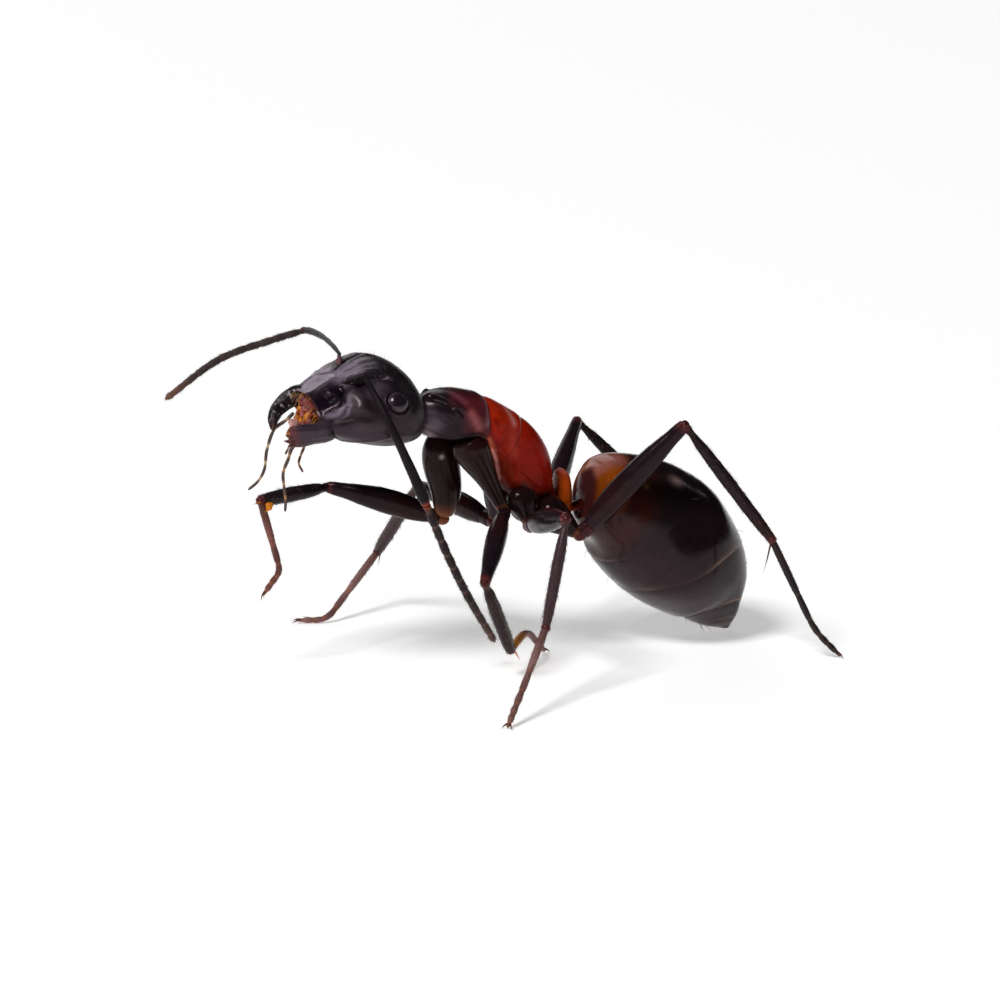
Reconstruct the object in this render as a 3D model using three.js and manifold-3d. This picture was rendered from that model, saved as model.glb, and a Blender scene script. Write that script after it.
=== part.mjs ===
// A large worker of a red-chested carpenter ant, 13 mm long, as a still life-size model.
// Millimetres. The ant faces -X, its left side is towards -Y, and +Z is up. The origin lies on
// the floor, under the middle of the bounding box.
import * as THREE from "three";
import { mergeVertices } from "three/addons/utils/BufferGeometryUtils.js";
import Module from "manifold-3d";

const wasm = await Module();
wasm.setup();

// ---- Driving dimensions ----

const CENTRE_X = -0.2; // body X and Y of the middle of the bounding box
const CENTRE_Y = -0.25;
const GAP = 0.03; // clearance between neighbouring pieces
const FEELER_RADIUS = 0.25; // legs, feelers and feet are at least this thick all round
const FOOT_HEIGHT = 0.08; // height of a foot's axis over the floor, cut flat at the floor
const PALP_RADIUS = 0.2;

// The head's own frame: forward, left and up are measured from the middle of the head.
const HEAD = { x: -3.45, y: 0, z: 5.8, roll: 12.5, pitch: 0, yaw: 0 };
const HEAD_REAR = -1.25;
const HEAD_FRONT = 1.4;
const EYE = { forward: -0.27, left: 1.14, up: 0.51, radius: 0.25, bulge: 0.15, tilt: 39 };

// Segment lengths of a front, a middle and a hind leg.
const LEG = {
  front: { coxaRadius: 0.4, femur: 2.54, tibia: 2.2, femurRadius: 0.27 },
  middle: { coxaRadius: 0.34, femur: 2.6, tibia: 2.34, femurRadius: 0.27 },
  hind: { coxaRadius: 0.42, femur: 3.25, tibia: 3.1, femurRadius: 0.3 },
};

// Each leg's pose. Directions are [yaw, rise] in degrees: yaw turns from straight ahead towards
// the leg's own side, and rise is up from level. Feet are [yaw, rise, length]; a foot with a
// null rise comes down to the floor.
const POSES = [
  {
    name: "front_left",
    pair: "front",
    side: -1,
    root: [-1.2, -0.42, 4.95],
    hip: [-0.36, -0.52, 3.34],
    femur: [54, -23],
    tibia: [-140, -53],
    foot: [
      [-136, 12, 1.0],
      [-136, null, 1.3],
    ],
  },
  {
    name: "front_right",
    pair: "front",
    side: 1,
    root: [-1.32, 0.42, 4.95],
    hip: [-1.27, 0.6, 3.02],
    femur: [34, 14],
    tibia: [-25, 3],
    foot: [
      [180, -74, 1.3],
      [170, -74, 0.35],
      [40, -55, 0.6],
    ],
  },
  {
    name: "middle_left",
    pair: "middle",
    side: -1,
    root: [0.06, -0.36, 3.72],
    hip: [0.08, -0.8, 3.04],
    femur: [82, 16],
    tibia: [39, -64],
    foot: [
      [42, -38, 1.3],
      [42, null, 1.3],
    ],
  },
  {
    name: "middle_right",
    pair: "middle",
    side: 1,
    root: [0.0, 0.4, 3.75],
    hip: [-0.03, 0.74, 2.82],
    femur: [77, 6],
    tibia: [81, -49],
    foot: [
      [-20, null, 2.0],
      [25, null, 0.6],
    ],
  },
  {
    name: "hind_left",
    pair: "hind",
    side: -1,
    root: [0.5, -0.4, 3.35],
    hip: [1.27, -0.83, 2.71],
    femur: [156, 47],
    tibia: [152, -53],
    foot: [
      [151, -65, 2.2],
      [164, null, 0.75],
    ],
  },
  {
    name: "hind_right",
    pair: "hind",
    side: 1,
    root: [0.5, 0.4, 3.35],
    hip: [1.15, 0.72, 2.6],
    femur: [132, 31],
    tibia: [178, -45],
    foot: [
      [126, -50, 2.1],
      [126, null, 0.75],
    ],
  },
];

// ---- Small tools ----

const radians = THREE.MathUtils.degToRad;
const vector = (x, y, z) => new THREE.Vector3(x, y, z);
const UPWARD = vector(0, 0, 1);
const FORWARD = vector(-1, 0, 0);
const SIDEWAYS = vector(0, 1, 0);

// A unit direction for a part on one side (-1 left, 1 right) of the body.
function heading(yaw, rise, side) {
  const level = Math.cos(radians(rise));
  const ahead = Math.cos(radians(yaw)) * level;
  const outward = Math.sin(radians(yaw)) * level;
  return vector(-ahead, side * outward, Math.sin(radians(rise)));
}

// A smooth value at s of one column of rows that start with their own s.
function smooth(rows, s, column) {
  const last = rows.length - 1;
  let i = 0;
  while (i < last - 1 && s > rows[i + 1][0]) i += 1;
  const slope = (j) => {
    const a = rows[Math.max(j - 1, 0)];
    const b = rows[Math.min(j + 1, last)];
    return (b[column] - a[column]) / (b[0] - a[0]);
  };
  const width = rows[i + 1][0] - rows[i][0];
  const t = THREE.MathUtils.clamp((s - rows[i][0]) / width, 0, 1);
  const h = 1 - t;
  return (
    rows[i][column] * h * h * (1 + 2 * t) +
    rows[i + 1][column] * t * t * (3 - 2 * t) +
    slope(i) * width * t * h * h -
    slope(i + 1) * width * t * t * h
  );
}

// A closed cylinder whose every vertex is moved to place(turn, reach, step): turn runs round the
// section, reach is 1 on the wall and 0 at the middle of an end, and step counts along it.
function lofted(around, along, place) {
  const geometry = new THREE.CylinderGeometry(1, 1, 1, around, along);
  geometry.deleteAttribute("normal");
  geometry.deleteAttribute("uv");
  const position = geometry.getAttribute("position");
  for (let i = 0; i < position.count; i += 1) {
    const x = position.getX(i);
    const z = position.getZ(i);
    const step = Math.round((0.5 - position.getY(i)) * along);
    const spot = place(Math.atan2(x, z), Math.hypot(x, z), step);
    position.setXYZ(i, spot.x, spot.y, spot.z);
  }
  return mergeVertices(geometry, 1e-4);
}

// A body shell along a spine in the mirror plane. Its rows give [s, half width, top, bottom] at
// the share s of the spine, power squares the section off from an ellipse, and grow swells it.
function shell(shape) {
  const { spine, rows, from = 0, to = 1, around = 20, along = 8, power = 2 } = shape;
  const { grow = 0, top = UPWARD } = shape;
  return lofted(around, along, (turn, reach, step) => {
    const s = from + ((to - from) * step) / along;
    const tangent = spine.getTangentAt(s);
    const right = top.clone().cross(tangent).normalize();
    const up = tangent.clone().cross(right);
    const across = Math.sign(Math.sin(turn)) * Math.abs(Math.sin(turn)) ** (2 / power);
    const height = Math.sign(Math.cos(turn)) * Math.abs(Math.cos(turn)) ** (2 / power);
    const half = smooth(rows, s, 1) + grow;
    const tall = smooth(rows, s, height > 0 ? 2 : 3) + grow;
    const end = step === 0 ? -grow : step === along ? grow : 0;
    return spine
      .getPointAt(s)
      .addScaledVector(tangent, end)
      .addScaledVector(right, across * half * reach)
      .addScaledVector(up, height * tall * reach);
  });
}

// A round limb through stops of { at, facing, radius, deep }: each section lies in the plane that
// faces along facing, and deep stretches it away from the wide vector.
function limb(stops, wide, around = 8) {
  return lofted(around, stops.length - 1, (turn, reach, step) => {
    const { at, facing, radius, deep = 1 } = stops[step];
    const before = stops[Math.max(step - 1, 0)].at;
    const after = stops[Math.min(step + 1, stops.length - 1)].at;
    const run = step === 0 || step === stops.length - 1 ? after.clone().sub(before) : facing;
    const along = run.clone().normalize();
    const side = wide.clone().addScaledVector(along, -wide.dot(along)).normalize();
    const other = along.clone().cross(side);
    const offset = side.multiplyScalar(Math.sin(turn) * radius * reach);
    offset.addScaledVector(other, Math.cos(turn) * radius * deep * reach);
    offset.addScaledVector(along, -offset.dot(facing) / along.dot(facing));
    return at.clone().add(offset);
  });
}

// Stops along a polyline of knots, with a radius for each and mitred turns between them. Its two
// ends face the given directions, and GAP is left before each.
function stopsAlong(knots, radii, startFacing, endFacing) {
  const runs = knots.slice(1).map((knot, i) => knot.clone().sub(knots[i]).normalize());
  return knots.map((knot, i) => {
    const before = runs[i - 1] ?? runs[0];
    const after = runs[i] ?? runs[runs.length - 1];
    let facing = before.clone().add(after).normalize();
    const at = knot.clone();
    if (i === 0 && startFacing) {
      facing = startFacing;
      at.addScaledVector(after, GAP / 2 / after.dot(facing));
    }
    if (i === knots.length - 1 && endFacing) {
      facing = endFacing;
      at.addScaledVector(before, -GAP / 2 / before.dot(facing));
    }
    return { at, facing, radius: radii[i] };
  });
}

const between = (a, b, share) => a.clone().lerp(b, share);
const bisector = (a, b) => a.clone().add(b).normalize();

// ---- Cutting with manifold-3d ----

function solidOf(geometry) {
  return new wasm.Manifold(
    new wasm.Mesh({
      numProp: 3,
      vertProperties: new Float32Array(geometry.getAttribute("position").array),
      triVerts: new Uint32Array(geometry.index.array),
    }),
  );
}

function geometryOf(solid) {
  const mesh = solid.getMesh();
  const result = new THREE.BufferGeometry();
  result.setAttribute("position", new THREE.Float32BufferAttribute(mesh.vertProperties, 3));
  result.setIndex([...mesh.triVerts]);
  return result;
}

// The geometry with each of the cutters taken away. Crumbs that a cut leaves are dropped.
function carved(geometry, cutters) {
  let solid = solidOf(geometry);
  for (const cutter of cutters) solid = solid.subtract(solidOf(cutter));
  const pieces = solid.decompose().sort((a, b) => b.volume() - a.volume());
  return geometryOf(pieces[0]);
}

function joined(geometries) {
  const solids = geometries.map(solidOf);
  return geometryOf(solids.reduce((whole, solid) => whole.add(solid)));
}

const FLOOR = new THREE.BoxGeometry(40, 40, 2).translate(0, 0, -1);
FLOOR.deleteAttribute("normal");
FLOOR.deleteAttribute("uv");
const floorCutter = mergeVertices(FLOOR, 1e-4);

// ---- Materials ----

function shellMaterial(color, roughness) {
  return new THREE.MeshStandardMaterial({ color, roughness, metalness: 0 });
}

const BLACK = shellMaterial(0x1d1820, 0.35);
const RED = shellMaterial(0x7a160c, 0.3);
const MAROON = shellMaterial(0x3c0f12, 0.3);
const AMBER = shellMaterial(0x8a3a14, 0.3);
const BROWN = shellMaterial(0x2c1a1c, 0.35);
const RUST = shellMaterial(0x6b3220, 0.45);
const PALE = shellMaterial(0xb08040, 0.5);

const ant = new THREE.Group();
ant.position.set(-CENTRE_X, -CENTRE_Y, 0);

function addPiece(name, geometry, material, parent = ant) {
  const mesh = new THREE.Mesh(geometry, material);
  mesh.name = name;
  parent.add(mesh);
  return mesh;
}

// ---- Trunk: three shells on one spine from the neck to the waist ----

const TRUNK_SPINE = new THREE.CatmullRomCurve3([
  vector(-2.15, 0, 5.5),
  vector(-1.35, 0, 5.48),
  vector(-0.65, 0, 5.22),
  vector(-0.08, 0, 4.72),
  vector(0.35, 0, 4.05),
  vector(0.7, 0, 3.55),
  vector(1.0, 0, 3.3),
]);
const TRUNK_ROWS = [
  [0, 0.34, 0.38, 0.36],
  [0.06, 0.5, 0.48, 0.52],
  [0.2, 0.78, 0.53, 0.6],
  [0.36, 0.8, 0.53, 0.56],
  [0.5, 0.68, 0.6, 0.62],
  [0.62, 0.6, 0.67, 0.7],
  [0.76, 0.52, 0.65, 0.66],
  [0.88, 0.4, 0.45, 0.42],
  [1, 0.2, 0.2, 0.22],
];
const TRUNK_SLICES = [
  { name: "pronotum", from: 0, to: 0.34, along: 8, material: MAROON },
  { name: "mesothorax", from: 0.35, to: 0.5, along: 4, material: RED },
  { name: "propodeum", from: 0.51, to: 1, along: 10, material: RED },
];
const trunkShapes = TRUNK_SLICES.map(({ from, to, along }) =>
  shell({ spine: TRUNK_SPINE, rows: TRUNK_ROWS, power: 2.2, from, to, along }),
);
const trunkCutter = shell({
  spine: TRUNK_SPINE,
  rows: TRUNK_ROWS,
  power: 2.2,
  along: 22,
  grow: GAP,
});

// ---- Waist scale ----

const WAIST_FOOT = vector(1.24, 0, 2.82);
const WAIST_TOP = vector(1.26, 0, 3.98);
const SCALE_ROWS = [
  [0, 0.2, 0.18, 0.18],
  [0.25, 0.3, 0.2, 0.2],
  [0.6, 0.38, 0.17, 0.17],
  [0.9, 0.32, 0.12, 0.12],
  [1, 0.15, 0.06, 0.06],
];
const STALK_KNOTS = [vector(0.9, 0, 3.32), vector(1.26, 0, 3.14), vector(1.7, 0, 3.2)];
const STALK_RADII = [0.19, 0.2, 0.2];
const scaleSpine = new THREE.LineCurve3(WAIST_FOOT, WAIST_TOP);
const scale = { spine: scaleSpine, rows: SCALE_ROWS, along: 8, around: 14, top: FORWARD };
const stalk = limb(stopsAlong(STALK_KNOTS, STALK_RADII), SIDEWAYS, 12);

// ---- Gaster: five rings of shell on one spine, hanging close over the floor ----

const GASTER_SPINE = new THREE.CatmullRomCurve3([
  vector(1.7, 0, 3.18),
  vector(2.5, 0, 3.02),
  vector(3.84, 0, 2.05),
  vector(4.88, 0, 1.18),
  vector(5.25, 0, 0.05),
]);
const GASTER_ROWS = [
  [0, 0.3, 0.36, 0.35],
  [0.05, 0.92, 0.92, 0.7],
  [0.16, 1.26, 1.2, 1.1],
  [0.32, 1.45, 1.46, 1.35],
  [0.5, 1.68, 1.46, 1.38],
  [0.68, 1.41, 1.05, 1.27],
  [0.84, 0.87, 0.4, 1.12],
  [0.95, 0.38, 0.22, 0.53],
  [1, 0.08, 0.05, 0.08],
];
const GASTER_ENDS = [0, 0.27, 0.57, 0.82, 0.93, 1];
const GASTER_STEPS = [6, 5, 4, 4, 4];
GASTER_STEPS.forEach((along, i) => {
  const from = GASTER_ENDS[i] + (i ? 0.006 : 0);
  const slice = { spine: GASTER_SPINE, rows: GASTER_ROWS, from, to: GASTER_ENDS[i + 1], along };
  addPiece(`gaster_${i + 1}`, shell({ ...slice, power: 2.2, around: 24 }), i ? BLACK : AMBER);
});
const gasterCutter = shell({
  spine: GASTER_SPINE,
  rows: GASTER_ROWS,
  power: 2.2,
  to: 0.3,
  along: 8,
  grow: GAP,
});
addPiece("petiole", carved(joined([shell(scale), stalk]), [trunkCutter, gasterCutter]), AMBER);

// ---- Head ----

const head = new THREE.Group();
head.position.set(HEAD.x, HEAD.y, HEAD.z);
head.rotation.set(radians(HEAD.roll), radians(HEAD.pitch), radians(HEAD.yaw), "ZYX");
ant.add(head);
head.updateMatrix();

const inHead = (forward, left, up) => vector(-forward, -left, up);

const HEAD_SPINE = new THREE.LineCurve3(inHead(HEAD_REAR, 0, 0), inHead(HEAD_FRONT, 0, 0));
const HEAD_ROWS = [
  [0, 0.35, 0.12, 0.46],
  [0.04, 0.8, 0.38, 0.56],
  [0.13, 1.18, 0.74, 0.64],
  [0.3, 1.38, 0.99, 0.66],
  [0.46, 1.4, 1.02, 0.63],
  [0.62, 1.26, 0.88, 0.55],
  [0.76, 1.08, 0.67, 0.47],
  [0.88, 0.9, 0.48, 0.33],
  [0.97, 0.66, 0.36, 0.12],
  [1, 0.4, 0.28, 0.02],
];
function headShape(grow) {
  const rows = HEAD_ROWS;
  return shell({ spine: HEAD_SPINE, rows, power: 2.25, around: 28, along: 18, grow });
}

// A ball squeezed to three radii, in the head's frame. tilt turns its left side up, in degrees.
function lump(forward, left, up, radii, grow = 0, tilt = 0) {
  const ball = new THREE.SphereGeometry(1, 14, 9);
  ball.deleteAttribute("normal");
  ball.deleteAttribute("uv");
  ball.scale(radii[0] + grow, radii[1] + grow, radii[2] + grow);
  ball.rotateX(radians(-tilt));
  const spot = inHead(forward, left, up);
  ball.translate(spot.x, spot.y, spot.z);
  return mergeVertices(ball, 1e-4);
}

function eyeShape(side, grow = 0) {
  const radii = [EYE.radius, EYE.bulge, EYE.radius];
  return lump(EYE.forward, side * EYE.left, EYE.up, radii, grow, side * EYE.tilt);
}

addPiece("eye_left", eyeShape(1), BLACK, head);
addPiece("eye_right", eyeShape(-1), BLACK, head);

// Each jaw is a curved blade from its hinge at the corner of the mouth to its tip.
const JAWS = [
  {
    name: "mandible_left",
    hinge: inHead(1.0, 0.86, -0.1),
    bend: inHead(1.57, 1.08, -0.02),
    tip: inHead(2.1, 0.74, -0.16),
    radii: [0.25, 0.27, 0.27, 0.27, 0.27, 0.26, 0.2],
  },
  {
    name: "mandible_right",
    hinge: inHead(1.12, -0.68, 0.16),
    bend: inHead(1.72, -0.9, -0.1),
    tip: inHead(1.97, -0.13, -0.4),
    radii: [0.24, 0.23, 0.19, 0.17, 0.15, 0.12, 0.08],
  },
];
function jawShape({ hinge, bend, tip, radii }, grow) {
  const curve = new THREE.QuadraticBezierCurve3(hinge, bend, tip);
  const stops = radii.map((radius, i) => {
    const share = i / (radii.length - 1);
    const at = curve.getPoint(share);
    return { at, facing: curve.getTangent(share), radius: radius + grow, deep: 0.8 };
  });
  return limb(stops, UPWARD, 10);
}
const neckCutter = headShape(GAP);
for (const jaw of JAWS) addPiece(jaw.name, carved(jawShape(jaw, 0), [neckCutter]), BLACK, head);

// The tongue with its two short lip feelers is one piece, and the two longer palps hang beside it.
const TONGUE_RADII = [0.4, 0.46, 0.34];
const LIP_FEELER_RADIUS = 0.13;
const LIP_FEELERS = [
  [inHead(1.2, 0.22, -0.4), inHead(1.43, 0.32, -0.74), inHead(1.47, 0.53, -1.12)],
  [inHead(1.2, -0.16, -0.4), inHead(1.4, -0.24, -0.74), inHead(1.46, -0.4, -1.14)],
];
const PALPS = [
  {
    name: "palp_left",
    knots: [
      inHead(1.5, 0.42, -0.42),
      inHead(1.8, 0.5, -0.66),
      inHead(2.04, 0.68, -1.05),
      inHead(2.05, 1.03, -1.73),
    ],
  },
  {
    name: "palp_right",
    knots: [
      inHead(1.4, -0.36, -0.1),
      inHead(1.79, -0.39, -0.45),
      inHead(2.02, -0.17, -1.05),
      inHead(2.42, -0.06, -1.68),
    ],
  },
];
function palpShape(knots, radius) {
  const points = new THREE.CatmullRomCurve3(knots).getPoints(6);
  return limb(stopsAlong(points, points.map(() => radius)), SIDEWAYS, 7);
}
function mouthShape(grow) {
  const feelers = LIP_FEELERS.map((knots) => palpShape(knots, LIP_FEELER_RADIUS + grow));
  return joined([lump(1.3, 0, -0.22, TONGUE_RADII, grow), ...feelers]);
}
const jawCutters = JAWS.map((jaw) => jawShape(jaw, GAP));
addPiece("mouthparts", carved(mouthShape(0), [neckCutter, ...jawCutters]), PALE, head);
for (const { name, knots } of PALPS) {
  const cutters = [neckCutter, ...jawCutters, mouthShape(GAP)];
  addPiece(name, carved(palpShape(knots, PALP_RADIUS), cutters), PALE, head);
}

const eyeCutters = [eyeShape(1, GAP), eyeShape(-1, GAP)];
addPiece("head", carved(headShape(0), eyeCutters), BLACK, head);

// The trunk's front ring stops short of the back of the head.
const headCutter = neckCutter.clone().applyMatrix4(head.matrix);
TRUNK_SLICES.forEach(({ name, material }, i) => {
  const cutters = i === 0 ? [headCutter] : [];
  addPiece(name, carved(trunkShapes[i], cutters), material);
});

// ---- Feelers ----

// The points are in the body's frame: socket, elbow and the bends up to the tip.
const FEELERS = [
  {
    name: "left",
    wide: FORWARD,
    scape: [vector(-3.72, -0.75, 6.6), vector(-3.89, -2.2, 6.19), vector(-2.86, -1.95, 4.03)],
    lash: [vector(-2.18, -1.65, 2.72), vector(-1.51, -1.22, 1.69), vector(-0.65, -0.65, 0.55)],
  },
  {
    name: "right",
    wide: UPWARD,
    scape: [vector(-3.69, 0.55, 6.85), vector(-3.48, 1.73, 7.05), vector(-3.28, 3.18, 6.81)],
    lash: [vector(-4.18, 3.0, 6.7), vector(-5.46, 2.75, 6.47), vector(-6.92, 2.29, 5.84)],
  },
];
for (const { name, wide, scape, lash } of FEELERS) {
  const elbow = scape[2];
  const scapeEnd = elbow.clone().sub(scape[1]).normalize();
  const lashStart = lash[0].clone().sub(elbow).normalize();
  const facing = bisector(scapeEnd, lashStart);
  const stem = new THREE.QuadraticBezierCurve3(scape[0], scape[1], elbow).getPoints(7);
  const whip = new THREE.CatmullRomCurve3([elbow, ...lash]).getPoints(12);
  const stemRadii = stem.map(() => FEELER_RADIUS);
  const whipRadii = whip.map((_, i) => (i < whip.length - 1 ? 1 : 0.7) * FEELER_RADIUS);
  const stemShape = limb(stopsAlong(stem, stemRadii, null, facing), wide);
  addPiece(`scape_${name}`, carved(stemShape, [headCutter]), BROWN);
  addPiece(`funiculus_${name}`, limb(stopsAlong(whip, whipRadii, facing, null), wide), BROWN);
}

// ---- Legs ----

for (const { name, pair, side, root, hip, femur, tibia, foot } of POSES) {
  const size = LEG[pair];
  const rootPoint = vector(...root);
  const hipPoint = vector(...hip);
  const coxaRun = hipPoint.clone().sub(rootPoint).normalize();
  const femurRun = heading(...femur, side);
  const tibiaRun = heading(...tibia, side);
  const knee = hipPoint.clone().addScaledVector(femurRun, size.femur);
  const ankle = knee.clone().addScaledVector(tibiaRun, size.tibia);
  const footPoints = [ankle];
  for (const [yaw, rise, length] of foot) {
    const start = footPoints[footPoints.length - 1];
    const drop = THREE.MathUtils.radToDeg(Math.asin((FOOT_HEIGHT - start.z) / length));
    footPoints.push(start.clone().addScaledVector(heading(yaw, rise ?? drop, side), length));
  }
  const footRun = footPoints[1].clone().sub(ankle).normalize();
  const atHip = bisector(coxaRun, femurRun);
  const atKnee = bisector(femurRun, tibiaRun);
  const atAnkle = bisector(tibiaRun, footRun);

  const wide = heading(femur[0] + 90, 0, side);
  const coxaKnots = [0, 0.15, 0.35, 0.6, 0.85, 1].map((t) => between(rootPoint, hipPoint, t));
  const coxaShares = [0.7, 0.95, 1, 0.85, 0.66, 0.62];
  const coxaRadii = coxaShares.map((share) => share * size.coxaRadius);
  const coxa = limb(stopsAlong(coxaKnots, coxaRadii, null, atHip), wide, 12);
  addPiece(`coxa_${name}`, carved(coxa, [trunkCutter]), BROWN);

  const femurKnots = [0, 0.1, 0.3, 0.55, 0.8, 1].map((t) => between(hipPoint, knee, t));
  const femurShares = [0.92, 0.92, 1.05, 1.1, 0.95, 0.92];
  const femurRadii = femurShares.map((share) => share * size.femurRadius);
  addPiece(`femur_${name}`, limb(stopsAlong(femurKnots, femurRadii, atHip, atKnee), wide), BROWN);

  const tibiaKnots = [0, 0.35, 0.7, 1].map((t) => between(knee, ankle, t));
  const even = tibiaKnots.map(() => FEELER_RADIUS);
  addPiece(`tibia_${name}`, limb(stopsAlong(tibiaKnots, even, atKnee, atAnkle), wide), BROWN);

  const thin = footPoints.map(() => FEELER_RADIUS);
  const tarsus = limb(stopsAlong(footPoints, thin, atAnkle, null), wide);
  addPiece(`tarsus_${name}`, carved(tarsus, [floorCutter]), RUST);
}

export default ant;
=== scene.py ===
"""A large red-chested carpenter ant as a museum would show it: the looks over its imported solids."""

import math

import bpy
import numpy as np
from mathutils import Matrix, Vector


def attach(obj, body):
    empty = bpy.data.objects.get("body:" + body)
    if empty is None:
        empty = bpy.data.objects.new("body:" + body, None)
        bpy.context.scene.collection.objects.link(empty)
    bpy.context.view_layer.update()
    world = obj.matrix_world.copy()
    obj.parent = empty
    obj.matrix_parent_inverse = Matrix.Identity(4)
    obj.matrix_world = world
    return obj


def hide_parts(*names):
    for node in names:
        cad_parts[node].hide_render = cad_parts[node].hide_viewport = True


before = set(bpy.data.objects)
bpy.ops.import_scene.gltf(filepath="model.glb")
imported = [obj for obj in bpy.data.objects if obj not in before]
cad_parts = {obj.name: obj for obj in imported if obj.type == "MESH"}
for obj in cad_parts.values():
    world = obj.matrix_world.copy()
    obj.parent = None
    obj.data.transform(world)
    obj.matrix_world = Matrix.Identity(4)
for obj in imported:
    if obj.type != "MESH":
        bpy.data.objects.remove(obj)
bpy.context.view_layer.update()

# ---- Driving dimensions, in millimetres, in the body's own frame as in the CAD source ----

MM = 0.001
BODY_TO_PART = np.array((0.2, 0.25, 0.0))
HEAD_AT = np.array((-3.45, 0.0, 5.8))
HEAD_ROLL = 12.5  # degrees, left side down
HEAD_REAR, HEAD_FRONT = -1.25, 1.4
MOUTH_RIM = 0.955  # share of the head's length where the mouth opens
EYE = {"at": (-0.28, 1.12, 0.56), "radius": 0.225, "bulge": 0.14, "tilt": 41}
ABOVE_FLOOR = 0.004
SKIN = 0.02  # how far the shell plates lie inside their solids

HEAD_ROWS = [
    (0, 0.35, 0.12, 0.46),
    (0.04, 0.8, 0.38, 0.56),
    (0.13, 1.18, 0.74, 0.64),
    (0.3, 1.38, 0.99, 0.66),
    (0.46, 1.4, 1.02, 0.63),
    (0.62, 1.26, 0.88, 0.55),
    (0.76, 1.08, 0.67, 0.47),
    (0.88, 0.9, 0.48, 0.33),
    (0.97, 0.66, 0.36, 0.12),
    (1, 0.4, 0.28, 0.02),
]
TRUNK_SPINE = [
    (-2.15, 0, 5.5),
    (-1.35, 0, 5.48),
    (-0.65, 0, 5.22),
    (-0.08, 0, 4.72),
    (0.35, 0, 4.05),
    (0.7, 0, 3.55),
    (1.0, 0, 3.3),
]
TRUNK_ROWS = [
    (0, 0.34, 0.38, 0.36),
    (0.06, 0.5, 0.48, 0.52),
    (0.2, 0.78, 0.53, 0.6),
    (0.36, 0.8, 0.53, 0.56),
    (0.5, 0.68, 0.6, 0.62),
    (0.62, 0.6, 0.67, 0.7),
    (0.76, 0.52, 0.65, 0.66),
    (0.88, 0.4, 0.45, 0.42),
    (1, 0.2, 0.2, 0.22),
]
SCALE_SPINE = [(1.24, 0, 2.82), (1.26, 0, 3.98)]
SCALE_ROWS = [
    (0, 0.2, 0.18, 0.18),
    (0.25, 0.3, 0.2, 0.2),
    (0.6, 0.38, 0.17, 0.17),
    (0.9, 0.32, 0.12, 0.12),
    (1, 0.15, 0.06, 0.06),
]
GASTER_SPINE = [(1.7, 0, 3.18), (2.5, 0, 3.02), (3.84, 0, 2.05), (4.88, 0, 1.18), (5.25, 0, 0.05)]
GASTER_ROWS = [
    (0, 0.3, 0.36, 0.35),
    (0.05, 0.92, 0.92, 0.7),
    (0.16, 1.26, 1.2, 1.1),
    (0.32, 1.45, 1.46, 1.35),
    (0.5, 1.68, 1.46, 1.38),
    (0.68, 1.41, 1.05, 1.27),
    (0.84, 0.87, 0.4, 1.14),
    (0.9, 0.62, 0.3, 0.92),
    (0.95, 0.38, 0.22, 0.6),
    (1, 0.08, 0.05, 0.08),
]
# Where each ring of the gaster ends, as a share of the spine, and how far its top lies further
# back than its underside.
GASTER_MARGINS = [(0.29, 0.09), (0.556, 0.15), (0.835, 0.05), (0.935, 0.02), (1, 0)]

FOOT_HEIGHT = 0.08
LEG = {
    "front": {"coxa": 0.4, "femur": 2.54, "tibia": 2.2, "stout": 1.18},
    "middle": {"coxa": 0.34, "femur": 2.6, "tibia": 2.34, "stout": 1.18},
    "hind": {"coxa": 0.42, "femur": 3.25, "tibia": 3.1, "stout": 1.2},
}
POSES = {
    "front_left": {
        "root": (-1.2, -0.42, 4.95),
        "hip": (-0.36, -0.52, 3.34),
        "femur": (54, -23),
        "tibia": (-140, -53),
        "foot": [(-136, 12, 1.0), (-136, None, 1.3)],
    },
    "front_right": {
        "root": (-1.32, 0.42, 4.95),
        "hip": (-1.27, 0.6, 3.02),
        "femur": (34, 14),
        "tibia": (-25, 3),
        "foot": [(180, -74, 1.3), (170, -74, 0.35), (40, -55, 0.6)],
    },
    "middle_left": {
        "root": (0.06, -0.36, 3.72),
        "hip": (0.08, -0.8, 3.04),
        "femur": (82, 16),
        "tibia": (39, -64),
        "foot": [(42, -38, 1.3), (42, None, 1.3)],
    },
    "middle_right": {
        "root": (0.0, 0.4, 3.75),
        "hip": (-0.03, 0.74, 2.82),
        "femur": (77, 6),
        "tibia": (81, -49),
        "foot": [(-20, None, 2.0), (25, None, 0.6)],
    },
    "hind_left": {
        "root": (0.5, -0.4, 3.35),
        "hip": (1.27, -0.83, 2.71),
        "femur": (156, 47),
        "tibia": (152, -53),
        "foot": [(151, -65, 2.2), (164, None, 0.75)],
    },
    "hind_right": {
        "root": (0.5, 0.4, 3.35),
        "hip": (1.15, 0.72, 2.6),
        "femur": (132, 31),
        "tibia": (178, -45),
        "foot": [(126, -50, 2.1), (126, None, 0.75)],
    },
}
# Socket, middle and elbow of each scape, then the bends of the lash up to its tip.
FEELERS = {
    "left": {
        "scape": [(-3.72, -0.75, 6.6), (-3.89, -2.2, 6.19), (-2.86, -1.95, 4.03)],
        "lash": [(-2.18, -1.65, 2.72), (-1.51, -1.22, 1.69), (-0.65, -0.65, 0.55)],
        "radius": 0.088,
        "stout": 1.0,
    },
    "right": {
        "scape": [(-3.69, 0.55, 6.85), (-3.48, 1.73, 7.05), (-3.28, 3.18, 6.81)],
        "lash": [(-4.18, 3.0, 6.7), (-5.46, 2.75, 6.47), (-6.92, 2.29, 5.84)],
        "radius": 0.078,
        "stout": 0.66,
    },
}

# ---- Colours, as linear red, green and blue ----

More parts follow.
